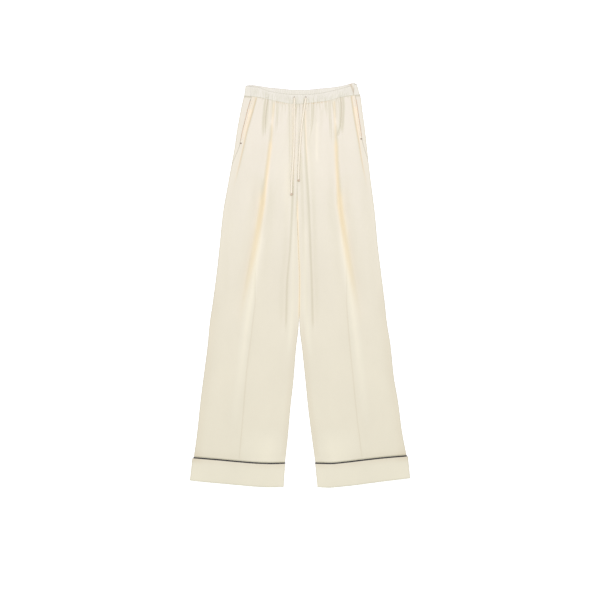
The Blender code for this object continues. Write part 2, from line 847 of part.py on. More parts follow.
def piping_route(leg):
    """The piping's centre line: over the front at the cuff seam, and back just above the floor."""
    tube = leg_tube(leg, last_leg_row(leg))
    low = PIPING_DIAMETER / 2 + PIPING_FLOOR_GAP
    edge_high = tube.floor + 2 * tube.radius + PIPING_LIFT
    radius = (edge_high - low) / 2
    first, last = radius - PIPING_LIFT, tube.width - radius + PIPING_LIFT
    straight = [first + (last - first) * k / PIPING_POINTS for k in range(PIPING_POINTS + 1)]
    turns = [math.pi * k / PIPING_TURN_POINTS for k in range(1, PIPING_TURN_POINTS)]
    route = [(reach, tube.top_height(reach) + PIPING_LIFT) for reach in straight]
    route += [(last + radius * math.sin(turn), low + radius * (1 + math.cos(turn))) for turn in turns]
    route += [(reach, low) for reach in reversed(straight)]
    route += [(first - radius * math.sin(turn), low + radius * (1 - math.cos(turn))) for turn in turns]
    points = []
    for reach, height in route:
        plan = tube.place(reach)
        points.append(spot(plan.x, line_down(leg.piping, plan.x), height))
    return points


def tube_object(name, points, diameter, cyclic, resolution, colour):
    curve = bpy.data.curves.new(name, "CURVE")
    curve.dimensions = "3D"
    curve.bevel_depth = diameter / 2 * MM
    curve.bevel_resolution = resolution
    curve.use_fill_caps = not cyclic
    spline = curve.splines.new("POLY")
    spline.points.add(len(points) - 1)
    for place, point in zip(spline.points, points):
        place.co = (*point, 1.0)
    spline.use_cyclic_u = cyclic
    spline.use_smooth = True
    curve.materials.append(colour)
    return bpy.data.objects.new(name, curve)


def cord_route(points):
    """A smooth line through the cord's points, with a point every 2 to 3 diameters."""
    places = [0.0]
    spots = [Vector(point) for point in points]
    for a, b in zip(spots, spots[1:]):
        places.append(places[-1] + (b - a).length)
    count = max(2, round(places[-1] / (CORD_DIAMETER * 2.1)))
    route = []
    for k in range(count + 1):
        at = places[-1] * k / count
        across, down, height = (smooth_along(places, [p[i] for p in spots], at) for i in range(3))
        route.append(spot(across, down, height))
    return route


def drawstring_end(name, points, colour):
    return tube_object(f"drawstring_{name}", cord_route(points), CORD_DIAMETER, False, 2, colour)


def knot(name, points, colour):
    """The knot at the end of the drawstring, in line with it."""
    last, before = Vector(points[-1]), Vector(points[-2])
    direction = (last - before).normalized()
    centre = last + direction * (KNOT_LENGTH / 2 + SEAM_GAP)
    bm = bmesh.new()
    bmesh.ops.create_uvsphere(bm, u_segments=10, v_segments=7, radius=0.5)
    for vert in bm.verts:
        shape = Vector((vert.co.x * KNOT_WIDTH, vert.co.z * KNOT_LENGTH, vert.co.y * KNOT_WIDTH * 0.8))
        turn = math.atan2(direction.x, direction.y)
        vert.co = Vector(
            (
                shape.x * math.cos(turn) + shape.y * math.sin(turn),
                shape.x * math.sin(turn) - shape.y * math.cos(turn),
                shape.z,
            )
        ) * MM + spot(*centre)
    bmesh.ops.recalc_face_normals(bm, faces=bm.faces[:])
    mesh = bpy.data.meshes.new(f"drawstring_knot_{name}")
    bm.to_mesh(mesh)
    bm.free()
    mesh.shade_smooth()
    mesh.materials.append(colour)
    return bpy.data.objects.new(mesh.name, mesh)


def centre_on_origin(objects, measured):
    """Puts the middle of the measured pieces' box over the origin, with its lowest face on the floor."""
    bpy.context.view_layer.update()
    corners = [obj.matrix_world @ Vector(corner) for obj in measured for corner in obj.bound_box]
    low = Vector(min(corner[i] for corner in corners) for i in range(3))
    high = Vector(max(corner[i] for corner in corners) for i in range(3))
    shift = Vector((-(low.x + high.x) / 2, -(low.y + high.y) / 2, -low.z))
    for obj in objects:
        obj.location = obj.location + shift


def main():
    clear_scene()
    collection = bpy.data.collections.new("drawstring_trousers")
    bpy.context.scene.collection.children.link(collection)
    cloth = material("ivory_satin", IVORY, 0.42)
    cord = material("drawstring_satin", CORD_IVORY, 0.5)
    piping = material("black_piping", PIPING_BLACK, 0.45)
    garment = [band_front(cloth), band_back(cloth)]
    for leg in (RIGHT, LEFT):
        garment += [front_panel(leg, cloth), back_panel(leg, cloth), pocket_facing(leg, cloth)]
        garment += [cuff_panel(leg, "front", cloth), cuff_panel(leg, "back", cloth)]
        route = piping_route(leg)
        garment.append(tube_object(f"piping_{leg.name}", route, PIPING_DIAMETER, True, 1, piping))
    cords = []
    for name, points in (("right", RIGHT_CORD), ("left", LEFT_CORD)):
        cords += [drawstring_end(name, points, cord), knot(name, points, cord)]
    for obj in garment + cords:
        collection.objects.link(obj)
    centre_on_origin(garment + cords, garment)


main()
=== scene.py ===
"""Wide-legged satin trousers with a drawstring waist, laid flat with the front up.

The cloth is made again here from the garment's own sizes, at a finer step than the solids it stands for.
Tables are in millimetres. "Down" is measured from the highest point of the waist towards the hems and
"across" from the centre line towards the wearer's left. The right leg is the wearer's, on the -X side.
"""

import math
import random
from collections import namedtuple

import bmesh
import bpy
import numpy as np
from mathutils import Matrix, Vector, noise


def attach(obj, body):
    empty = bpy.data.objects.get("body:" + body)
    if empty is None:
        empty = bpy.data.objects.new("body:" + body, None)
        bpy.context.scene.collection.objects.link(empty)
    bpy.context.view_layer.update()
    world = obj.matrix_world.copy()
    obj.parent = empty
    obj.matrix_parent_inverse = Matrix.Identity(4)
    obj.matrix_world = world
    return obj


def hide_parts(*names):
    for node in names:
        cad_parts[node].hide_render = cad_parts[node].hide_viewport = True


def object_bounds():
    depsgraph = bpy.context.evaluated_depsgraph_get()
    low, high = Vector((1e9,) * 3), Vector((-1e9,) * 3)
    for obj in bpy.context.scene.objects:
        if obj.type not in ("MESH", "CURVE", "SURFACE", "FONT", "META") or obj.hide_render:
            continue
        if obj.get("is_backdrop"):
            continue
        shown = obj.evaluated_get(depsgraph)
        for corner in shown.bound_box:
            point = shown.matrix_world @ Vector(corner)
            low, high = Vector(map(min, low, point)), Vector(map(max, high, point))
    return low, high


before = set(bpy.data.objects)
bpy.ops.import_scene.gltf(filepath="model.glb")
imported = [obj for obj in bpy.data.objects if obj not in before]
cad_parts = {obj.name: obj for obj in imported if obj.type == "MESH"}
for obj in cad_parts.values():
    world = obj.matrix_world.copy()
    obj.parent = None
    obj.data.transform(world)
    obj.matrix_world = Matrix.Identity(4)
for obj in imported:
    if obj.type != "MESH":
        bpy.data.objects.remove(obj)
CAD_LOW, CAD_HIGH = ([float(value) for value in corner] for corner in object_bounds())

MM = 0.001
WAIST_Y = CAD_HIGH[1]


def table_of(kind, *rows):
    """A table whose rows have named parts."""
    return tuple(kind(*row) for row in rows)


def beside(path, shift):
    """The same path, moved across."""
    return tuple((down, across + shift) for down, across in path)


# Cloth
CLOTH_WALL = 1.2
CLOTH_THICKNESS = 0.8
CUFF_WALL = 1.8
CUFF_THICKNESS = 1.5
BAND_WALL = 2.4
BAND_THICKNESS = 1.7
LAYER_GAP = 0.5
SEAM_GAP = 0.3
WAIST_SEAM_GAP = 0.4
WAIST_TUCK = 1.0
LEG_GAP = -0.05
POCKET_MOUTH_GAP = 1.6
LEAST_LIFT = 0.35
# The front dips a little at the centre seam
SEAM_DIP = 0.35
SEAM_DIP_WIDTH = 2.2
# The uneven lie of the cloth: height, size across, size down and seed of each noise. The two larger ones
# die away at the first and the last of these rows, each over its own distance.
SWAYS = ((0.55, 55, 210, 1.3), (0.25, 22, 120, 4.7))
CRINKLES = (0.10, 9, 26, 9.1)
SWAY_ROWS = ((60, 120), (1030, 60))

# Folded edges at the two sides of each leg
LEG_EDGE_RADIUS = 2.2
CUFF_EDGE_RADIUS = 2.4
BAND_EDGE_RADIUS = 2.0
EDGE_FALL = 24.0

# The elastic's gathers, with finer ones among them, and how the band's face falls at its folded edges
RUCHE_PITCH = 7.0
RUCHE_HEIGHT = 0.9
FINE_RUCHE_SHARE = 0.43
FINE_RUCHE_HEIGHT = 0.16
BAND_ROLL_DEPTH = 1.5
BAND_ROLL_REACH = 2.6

BAND_PUFF = 1.5
# Over what share of its length, at either end, the front band rises to the side seam
BAND_END_SHARE = 0.12

# The front band's left end falls back from the side seam and leaves a small shaded notch, slanting down
NOTCH_WIDTH = 7.5
NOTCH_SHADE = 0.62
NOTCH_DROP = 3.5
NOTCH_DROP_FROM = 134
NOTCH_SLANT = 9
NOTCH_SHADE_WIDTH = 3.5
NOTCH_EDGE_WIDTH = 2.2

# Pocket facings, cuffs and sewing. A buttonhole's size is its length and width.
STRIP_LEAD = 4
STRIP_WIDTH = 10
STRIP_DROP = 1.7
CUFF_DEPTH = 60
CUFF_SWAY = 0.25
HEM_ROLL_REACH = 1.6
FRONT_HEM_ROLL = 0.7
BACK_HEM_ROLL = 0.2
STITCH_INSET = 4.6
STITCH_PITCH = 3.4
STITCH_LENGTH = 2.4
BAR_TACK_PITCH = 0.45
BAR_TACK_STITCHES = 7
BUTTONHOLE_DOWN = 41.0
BUTTONHOLE_HEIGHT = 6.9
BUTTONHOLE_SIZE = (9.0, 2.6)
BUTTONHOLE_BITE = 1.1
BUTTONHOLE_STITCHES = 34
POCKET_THREAD = 0.22
TACK_THREAD = 0.3
BUTTONHOLE_THREAD = 0.26

# Piping and drawstring
PIPING_DIAMETER = 2.8
PIPING_GAP = 0.4
PIPING_LIFT = 0.4
PIPING_FLOOR_GAP = 0.2
CORD_DIAMETER = 5.0
CORD_STEP = 1.6
KNOT_SIZE = 0.82
KNOT_STRAND = 2.5
KNOT_AHEAD = 2.6

# Rows down the leg: its top, where the legs part, and over what distance the inner edge then rolls under,
# opens to its full roundness and settles
WAIST_ROW = 38.0
CROTCH_ROW = 358.0
CROTCH_TURN = 20.0
PARTED_ROW = 570
PARTED_OVER = 130
SETTLED_BEFORE = 60
SETTLED_OVER = 260
# How far from the waist seam and the piping the rows are drawn along their lines
BOW_ROWS = 60

LegRow = namedtuple("LegRow", "outer_down outer inner_down inner")
RIGHT_ROWS = table_of(
    LegRow,
    (38, -154, 59, -1), (80, -164, 94, -2), (129, -173, 140, -3), (184, -181, 195, -4),
    (239, -191, 250, -6), (294, -201, 305, -7), (358, -212, 363, -8), (446, -221, 459, -4),
    (528, -230, 544, -1), (610, -241, 627, -2), (657, -248, 671, -4), (720, -254, 734, -11),
    (806, -265, 820, -18), (877, -274, 891, -26), (954, -282, 971, -33), (1030, -292, 1043, -41),
)
LEFT_ROWS = table_of(
    LegRow,
    (38, 166, 59, -1), (80, 172, 94, -2), (129, 179, 140, -3), (184, 185, 195, -4),
    (239, 191, 250, -6), (294, 198, 305, -7), (358, 206, 363, -8), (446, 214, 459, -4),
    (528, 224, 544, -1), (610, 234, 627, -2), (657, 239, 671, -1), (720, 249, 734, 6),
    (806, 258, 820, 15), (877, 270, 891, 22), (954, 280, 971, 32), (1026, 293, 1043, 42),
)
RIGHT_CUFF = table_of(LegRow, (1032, -296, 1045, -41), (1092, -303, 1110, -45))
LEFT_CUFF = table_of(LegRow, (1027, 297, 1045, 42), (1086, 303, 1110, 48))

# How far the side seam lies in from the outer edge, on the front: rows down the leg, and distances
RIGHT_SEAM = (
    (38, 22.5), (77, 19.5), (107, 18.0), (139, 15.5), (165, 14.5), (200, 7.5), (230, 2.2), (260, 1.2),
    (1030, 1.2),
)
LEFT_SEAM = (
    (38, 15.5), (71, 13.5), (114, 13.0), (151, 12.5), (190, 6.5), (215, 2.2), (245, 1.2), (1030, 1.2),
)
# Where the pocket mouths begin and end, and over what length they open
RIGHT_MOUTH = (46.0, 162.0)
LEFT_MOUTH = (46.0, 150.0)
MOUTH_TAPER = 8.0

# Lines of the waist, the piping and the hem, as places across and down
FRONT_TOP = (
    (-150, 8), (-135, 10), (-116, 12), (-85, 23), (-41, 30), (-14, 32),
    (14, 32), (50, 29), (82, 23), (116, 15), (143, 7), (157, 4),
)
FRONT_LOW = (
    (-154, 36), (-121, 39), (-88, 46), (-52, 53), (-14, 59),
    (14, 57), (50, 53), (80, 49), (113, 40), (143, 35), (165, 33),
)
BACK_TOP = (
    (-150, 8), (-132, 6), (-116, 8), (-82, 13), (-50, 16), (-16, 19),
    (16, 19), (50, 16), (82, 13), (116, 8), (132, 4), (148, 0), (157, 4),
)
BACK_LOW = ((-154, 36), (-116, 38), (-50, 44), (0, 46), (50, 44), (116, 36), (165, 33))
BAND_SEAM_RIGHT = -135.0
BAND_SEAM_LEFT = 148.0
# Where the band's two folded ends lie across, at its top and at its foot
BAND_ENDS = ((-150, -154), (157, 165))
RIGHT_PIPING = ((-293, 1030), (-234, 1035), (-173, 1040.5), (-113, 1045), (-80, 1046), (-41, 1045))
LEFT_PIPING = ((42, 1045), (82, 1046), (124, 1042.5), (179, 1036), (234, 1030), (293, 1025))
RIGHT_HEM = (
    (-303, 1092), (-258, 1097), (-214, 1101), (-170, 1105), (-126, 1109), (-82, 1111), (-45, 1110),
)
LEFT_HEM = (
    (47, 1110), (77, 1112), (121, 1108.5), (165, 1103.5), (209, 1097.5), (253, 1092), (303, 1086),
)

# How far the front stands off the back between its folds, by distance down
PUFFS = (
    (0, 2.8), (60, 3.2), (150, 4.4), (330, 4.8), (500, 4.4), (700, 3.6), (900, 3.2),
    (990, 3.4), (1015, 3.2), (1030, 2.5), (1050, 2.6), (1080, 2.4), (1111, 1.0),
)

# Paths on the front, as places down and across: the main pleats, the pressed creases and the folds that
# run on below the pockets
RIGHT_PLEAT = ((60, -74), (140, -76), (250, -89), (418, -106), (591, -121), (803, -147), (1031, -167))
LEFT_PLEAT = ((58, 95), (135, 96), (179, 97), (330, 106), (514, 121), (707, 135), (817, 146), (1028, 170))
RIGHT_CREASE = ((600, -122), (690, -133), (803, -147), (927, -157), (1031, -167))
LEFT_CREASE = ((600, 127), (707, 135), (817, 146), (927, 157), (1028, 170))
RIGHT_POCKET_FOLD = ((48, -121), (107, -139), (135, -147), (181, -157), (253, -174), (300, -187))
LEFT_POCKET_FOLD = ((46, 142), (104, 152), (154, 161), (193, 167), (233, 174), (300, 187))

# Folds of the front, each along a path of places down and across. A negative rise is a valley. The two
# widths are those of the fold's slopes towards the wearer's right and left, and it grows and dies away over
# the two lengths.
Fold = namedtuple("Fold", "path rise right_width left_width grow die")
FOLDS = table_of(
    Fold,
    # Beside the right pocket: the groove at its mouth, and the fold that runs on below it
    (((42, -127), (77, -136), (107, -145), (139, -153), (200, -168)), -1.2, 4, 4, 10, 60),
    (RIGHT_POCKET_FOLD, -1.5, 1.5, 1.5, 10, 120),
    (beside(RIGHT_POCKET_FOLD, 4), 0.9, 2, 12, 10, 120),
    # Gathers between the right pocket and the main pleat
    (((45, -89), (69, -93), (102, -96), (160, -98)), -3.8, 5, 2.2, 8, 60),
    (((50, -82), (102, -86), (150, -88)), 1.0, 4, 5, 10, 60),
    # The right main pleat: a steep edge above, and a rounder one further down, with its valley outside
    (RIGHT_PLEAT[1:4] + ((520, -115),), 2.3, 6, 30, 50, 260),
    (((330, -98), (418, -106), (591, -121), (803, -147)), 3.4, 17, 24, 120, 330),
    (((135, -82), (160, -84), (220, -92.5), (300, -106), (380, -121), (460, -136)), -1.5, 20, 8, 40, 160),
    (((330, -109), (380, -119), (460, -135), (560, -156), (720, -186)), -3.4, 24, 10, 90, 260),
    # Gathers between the right main pleat and the drawstring
    (((52, -72), (80, -74), (125, -77)), -1.2, 2.4, 2.4, 6, 60),
    (((55, -62), (110, -64), (170, -70)), -1.2, 2.2, 2.2, 8, 90),
    (((58, -44), (130, -42), (250, -45)), 1.0, 11, 11, 10, 140),
    (((60, -26), (150, -25), (290, -26)), -1.2, 4, 4, 8, 120),
    # The right inner leg: a crease down from the fork, and the roll beside it
    (((290, -22), (459, -30), (542, -38), (674, -42), (700, -45)), -2.4, 13, 3.8, 90, 70),
    (((320, -14), (459, -18), (542, -20), (660, -24), (780, -37)), 2.0, 12, 8, 60, 160),
    # Beside the left pocket
    (((38, 146), (71, 152), (114, 159), (151, 165), (190, 172)), -1.2, 4, 4, 10, 60),
    (LEFT_POCKET_FOLD, -1.5, 1.5, 1.5, 10, 120),
    (beside(LEFT_POCKET_FOLD, -4), 0.9, 12, 2, 10, 120),
    # Gathers between the left main pleat and the left pocket
    (((38, 112), (69, 115), (102, 114), (150, 112)), -3.8, 2.2, 5, 8, 50),
    (((122, 112), (140, 105), (152, 99)), -2.0, 2.4, 2.4, 10, 12),
    (((48, 104), (102, 106), (150, 104)), 1.0, 5, 4, 10, 50),
    # The left main pleat and its valley
    (LEFT_PLEAT[1:4] + ((520, 121),), 2.3, 30, 6, 50, 260),
    (((330, 106), (514, 121), (707, 135), (803, 145)), 3.4, 24, 17, 120, 330),
    (((135, 101), (160, 103), (220, 106), (300, 113), (380, 125), (460, 140)), -1.5, 8, 20, 40, 160),
    (((330, 112), (380, 122), (460, 138), (560, 157), (720, 186)), -3.4, 10, 24, 90, 260),
    # Gathers between the drawstring and the left main pleat
    (((52, 93), (80, 95), (130, 98)), -1.2, 2.4, 2.4, 6, 60),
    (((55, 81), (130, 84), (190, 85)), -1.3, 2.2, 2.2, 8, 80),
    (((55, 52), (124, 50), (250, 50)), 1.4, 10, 10, 10, 150),
    (((55, 36), (102, 33), (160, 24)), -1.8, 2.2, 2.2, 8, 60),
    # The left inner leg: the crease runs up to the waist
    (((66, 13), (206, 19), (336, 27), (432, 31), (542, 35), (674, 39), (700, 42)), -2.4, 3.8, 13, 60, 70),
    (((220, 9), (336, 13), (459, 16), (542, 19), (660, 23), (780, 36)), 2.0, 8, 12, 60, 160),
)
# Warm light caught between folds, by the same measures, with its strength in place of a rise
WARMTHS = table_of(
    Fold,
    (((60, -72), (110, -76), (160, -79.5), (200, -84)), 0.6, 3, 3.5, 10, 40),
    (((180, -81.8), (220, -87), (300, -96), (380, -110), (430, -118)), 1.0, 5.5, 5, 30, 110),
    (((340, -104.5), (380, -111), (460, -125), (560, -146), (700, -172)), 0.85, 10, 8, 60, 300),
    (((58, 94), (110, 96.5), (160, 98.5), (200, 99.8)), 0.6, 3.5, 3, 10, 40),
    (((180, 99), (220, 100.5), (300, 105.5), (380, 114.5), (430, 122)), 1.0, 5, 5.5, 30, 110),
    (((340, 110), (380, 116), (460, 128), (560, 146), (700, 170)), 0.85, 8, 10, 60, 300),
    (((42, -127), (77, -136), (100, -143)), 0.35, 5, 5, 8, 25),
    (((80, -137), (107, -145), (139, -154), (181, -162)), 0.75, 4.5, 4.5, 10, 60),
    (RIGHT_POCKET_FOLD, 0.9, 1.6, 2.2, 10, 110),
    (((38, 147), (71, 152), (95, 156)), 0.35, 5, 5, 8, 25),
    (((75, 153), (114, 159), (151, 164), (181, 170)), 0.75, 4.5, 4.5, 10, 60),
    (LEFT_POCKET_FOLD, 0.9, 2.2, 1.6, 10, 110),
    (((355, -7), (459, -4), (542, -1), (660, -3)), 1.0, 2.4, 2.4, 60, 20),
    (((60, -18), (200, -18), (300, -24)), 0.3, 4, 4, 10, 80),
    (((80, 14), (130, 15.5), (206, 18.5), (260, 22)), 0.6, 2, 2.4, 10, 90),
)
# Where the cloth catches more of the light: outside the main pleats, over the upper centre, beside the
# inner creases and near the hems
LIGHTS = table_of(
    Fold,
    (((430, -112), (460, -116), (560, -130), (680, -148), (800, -163), (1000, -190)), 1.0, 9, 8, 90, 560),
    (((1002, -84), (1046, -90)), 0.35, 50, 26, 60, 14),
    (((110, 8), (200, 8), (340, 4)), 0.2, 75, 75, 60, 180),
    (((118, 46), (170, 46), (225, 46)), 0.6, 4, 4, 16, 24),
    (((290, -36), (350, -36), (430, -40)), 0.4, 9, 11, 90, 120),
    (((440, -17), (500, -18), (600, -20), (672, -25), (760, -33)), 0.45, 5, 6, 80, 90),
    (((440, 14), (500, 14), (600, 15), (672, 21), (760, 29)), 0.45, 6, 5, 80, 90),
    (((430, 119), (460, 123), (560, 136), (680, 151), (800, 165), (1000, 192)), 1.0, 8, 9, 90, 560),
    (((1002, 88), (1046, 92)), 0.35, 26, 50, 60, 14),
)
# Lines in shade: the pocket folds, two deep gathers, the side edges of the lower legs, the lower valleys,
# the inner creases and the pressed creases
SHADES = table_of(
    Fold,
    (RIGHT_POCKET_FOLD, 0.45, 1.5, 1.5, 4, 90),
    (LEFT_POCKET_FOLD, 0.45, 1.5, 1.5, 4, 90),
    (((45, -89), (69, -93), (102, -96), (140, -97)), 0.25, 2, 2, 4, 40),
    (((38, 112), (69, 115), (102, 114), (135, 109)), 0.25, 2, 2, 4, 40),
    (((620, -238), (806, -259), (1030, -287)), 0.11, 14, 14, 120, 10),
    (((620, 231), (806, 253), (1030, 288)), 0.11, 14, 14, 120, 10),
    (((380, -121), (460, -138), (560, -157), (680, -180)), 0.17, 10, 8, 160, 260),
    (((380, 127), (460, 141), (560, 160), (680, 182)), 0.17, 8, 10, 160, 260),
    (((440, -27), (500, -31.5), (560, -34.5), (600, -36.5), (672, -38.5)), 0.06, 9, 3.5, 60, 14),
    (((440, 27), (500, 30), (560, 32.5), (600, 33.5), (672, 34)), 0.06, 3.5, 9, 60, 14),
    (((700, -12), (820, -23), (1030, -44)), 0.14, 9, 9, 80, 10),
    (((700, 10), (820, 20), (1030, 46)), 0.14, 9, 9, 80, 10),
    (RIGHT_CREASE, 0.2, 1.4, 1.4, 120, 5),
    (LEFT_CREASE, 0.2, 1.4, 1.4, 120, 5),
)
# A little shade all over the lower legs
LOW_SHADE = 0.05
LOW_SHADE_ROWS = (330.0, 590.0)
# Shade beside the piping, which stands above the cloth: how strong it is, and how far it reaches
PIPING_SHADE_ABOVE = (0.09, 16.0)
PIPING_SHADE_BELOW = (0.20, 12.0)
PIPING_SHADE_ENDS = (0.26, 24.0)
# The cuffs' lower parts catch more of the light
CUFF_LIGHT = 0.12
# The pressed crease that shows as a fine line down to the piping
CREASES = table_of(
    Fold,
    (RIGHT_CREASE, 0.6, 1.3, 5, 160, 5),
    (LEFT_CREASE, 0.6, 5, 1.3, 160, 5),
)

# The drawstring's free ends, from the buttonholes in the front of the band: across, down and height
RIGHT_CORD = (
    (-15.5, 41.5, 7.6), (-15.5, 45.5, 9.4), (-15.6, 52, 9.7), (-15.8, 62, 9.5), (-16.0, 80, 9.5),
    (-16.0, 105, 9.8), (-16.0, 130, 10.1), (-16.4, 160, 10.3), (-17.6, 190, 10.3), (-19.6, 222, 10.2),
    (-21.6, 252, 9.7), (-22.8, 280, 9.8), (-23.3, 304, 10.4),
)
LEFT_CORD = (
    (16.2, 41.5, 7.6), (15.8, 45.5, 9.4), (14.6, 52, 9.6), (12.6, 64, 9.3), (10.0, 82, 9.1),
    (6.6, 104, 9.3), (3.8, 126, 9.9), (1.6, 150, 10.4), (-0.6, 180, 10.5), (-2.4, 212, 10.8),
    (-3.4, 240, 10.9), (-3.9, 266, 11.2),
)

# Stretches of the waist seam where the gathers are deepest
DIMPLED = ((-64, -36), (12, 84))
DIMPLE_WIDTH = 1.3
# Small gathers all along it: where they run, how long they are and how they lean outwards
GATHER_SPAN = (-150.0, 162)
GATHER_LENGTHS = (10, 14, 20, 32, 55)
GATHER_LEAN = 0.0012

# The satin's grains: how fine each is, how far it is drawn out down the cloth, and its detail
SLUBS = (900.0, 14.0, 2.0)
CLOUDS = (14.0, 2.0, 3.0)
SOFT_CRINKLES = (55.0, 2.2, 3.0)
FINE_CRINKLES = (190.0, 1.6, 2.0)
WEAVE = (2600.0, 9.0, 1.0)
# What the cloth's colour is multiplied by where it is plain, and where warm light, light and shade are
# painted on it
CLOTH_TONES = {
    "Colour": (1, 1, 1),
    "Warm Colour": (1.20, 1.085, 0.94),
    "Lit Colour": (1.14, 1.14, 1.14),
    "Shaded Colour": (0.72, 0.62, 0.50),
}
# In metres: the depth of the materials' own relief, the floor's height, and the camera's height, with the
# width that it takes in and its centre's distance below the waist
CLOTH_RELIEF = 0.0006
THREAD_RELIEF = 0.0002
FLOOR_Z = -0.0004
CAMERA_HEIGHT = 6.0
VIEW_SPAN = 1.65
VIEW_CENTRE_DOWN = 0.59675
# In millimetres, as Blender gives it
SENSOR_WIDTH = 36

Leg = namedtuple("Leg", "name side rows seam mouth pleat piping cuff hem")
RIGHT = Leg(
    "right", -1, RIGHT_ROWS, RIGHT_SEAM, RIGHT_MOUTH, RIGHT_PLEAT, RIGHT_PIPING, RIGHT_CUFF, RIGHT_HEM
)
LEFT = Leg("left", 1, LEFT_ROWS, LEFT_SEAM, LEFT_MOUTH, LEFT_PLEAT, LEFT_PIPING, LEFT_CUFF, LEFT_HEM)


# Curves and reliefs, on arrays of places
def smoothstep(t):
    t = np.clip(t, 0.0, 1.0)
    return t * t * (3 - 2 * t)


def bell(off, width):
    """1 at no distance, and falling to nothing over about twice the width."""
    return np.exp(-((off / width) ** 2))


def smooth_along(knots, values, at):
    """The values of a smooth curve through the knots, which never swings past them."""
    knots, values = np.asarray(knots, float), np.asarray(values, float)
    at = np.clip(at, knots[0], knots[-1])
    slopes = np.diff(values) / np.diff(knots)
    before, after = slopes[:-1], slopes[1:]
    total = np.where(before * after > 0, before + after, 1.0)
    inner = np.where(before * after > 0, 2 * before * after / total, 0.0)
    tangents = np.concatenate((slopes[:1], inner, slopes[-1:]))
    k = np.clip(np.searchsorted(knots, at, side="right") - 1, 0, len(slopes) - 1)
    span = knots[k + 1] - knots[k]
    t = (at - knots[k]) / span
    ends = values[k] * (1 - t) ** 2 * (1 + 2 * t) + values[k + 1] * t * t * (3 - 2 * t)
    return ends + span * t * (1 - t) * (tangents[k] * (1 - t) - tangents[k + 1] * t)


def along_line(line, at):
    """Reads a line of pairs at the places given."""
    return smooth_along([pair[0] for pair in line], [pair[1] for pair in line], at)


def noise_at(x, y, seed):
    """Smooth noise from about -1 to 1 at each place."""
    flat = np.broadcast_arrays(np.asarray(x, float), np.asarray(y, float))
    values = [noise.noise(Vector((a, b, seed))) for a, b in zip(flat[0].ravel(), flat[1].ravel())]
    return np.array(values).reshape(flat[0].shape)


def fold_shape(fold, across, down):
    """How strongly one fold shows at each place, from 0 to 1."""
    start, end = fold.path[0][0], fold.path[-1][0]
    off = across - along_line(fold.path, down)
    width = np.where(off < 0, fold.right_width, fold.left_width)
    grown = smoothstep((down - start + fold.grow) / fold.grow)
    dying = smoothstep((end - down) / fold.die)
    return bell(off, width) * grown * dying


def make_gathers():
    """Small gathers all along the waist seam, uneven in spacing, width and length."""
    rng = random.Random(11)
    gathers = []
    across, last = GATHER_SPAN
    while across < last:
        down = float(along_line(FRONT_LOW, across))
        length = rng.choice(GATHER_LENGTHS) * rng.uniform(0.8, 1.2)
        lean = across * GATHER_LEAN * length
        middle = (down + length * 0.5, across + lean)
        end = (down + length, across + lean * 1.6)
        width = rng.uniform(1.6, 3.0)
        depth = rng.uniform(0.6, 1.5)
        gathers.append(Fold(((down - 4, across), middle, end), -depth, width, width, 4, length))
        across += rng.uniform(5.0, 11.0)
    return tuple(gathers)


def make_dimples():
    """Small shaded hollows between the gathers, just under the waist seam."""
    rng = random.Random(5)
    dimples = []
    for across, last in DIMPLED:
        while across < last:
            down = float(along_line(FRONT_LOW, across)) + rng.uniform(1.0, 2.5)
            length = rng.uniform(2.0, 4.5)
            path = ((down, across), (down + length, across + rng.uniform(-0.6, 0.6)))
            strength = rng.uniform(0.4, 1.0)
            dimples.append(Fold(path, strength, DIMPLE_WIDTH, DIMPLE_WIDTH, 2, length))
            across += rng.uniform(2.8, 6.5)
    return tuple(dimples)


RELIEFS = FOLDS + CREASES + make_gathers()
DIMPLES = make_dimples()


def front_relief(across, down):
    """How far the front stands above lying flat on the back."""
    lift = along_line(PUFFS, down)
    for fold in RELIEFS:
        lift = lift + fold.rise * fold_shape(fold, across, down)
    (first, rising), (last, falling) = SWAY_ROWS
    amid = smoothstep((down - first) / rising) * smoothstep((last - down) / falling)
    for height, wide, tall, seed in SWAYS:
        lift = lift + height * amid * noise_at(across / wide, down / tall, seed)
    height, wide, tall, seed = CRINKLES
    lift = lift + height * noise_at(across / wide, down / tall, seed)
    return 0.5 * (lift + np.sqrt(lift * lift + 4 * LEAST_LIFT * LEAST_LIFT))


def tint(folds, across, down):
    """How strongly the folds of a table colour the cloth, from 0 to 1."""
    total = sum(fold.rise * fold_shape(fold, across, down) for fold in folds)
    return np.clip(total, 0, 1)


def piping_shade(leg, across, off, shade):
    """How dark the cloth is beside the piping, off being the distance from it."""
    strength, reach = shade
    ends, end_reach = PIPING_SHADE_ENDS
    outer_end = leg.side * leg.piping[-1 if leg.side > 0 else 0][0]
    near_end = bell(outer_end - leg.side * across, end_reach)
    uneven = 0.85 + 0.5 * noise_at(across / 24, 0.0, 6.6)
    return (strength * uneven + ends * near_end) * bell(off, reach)


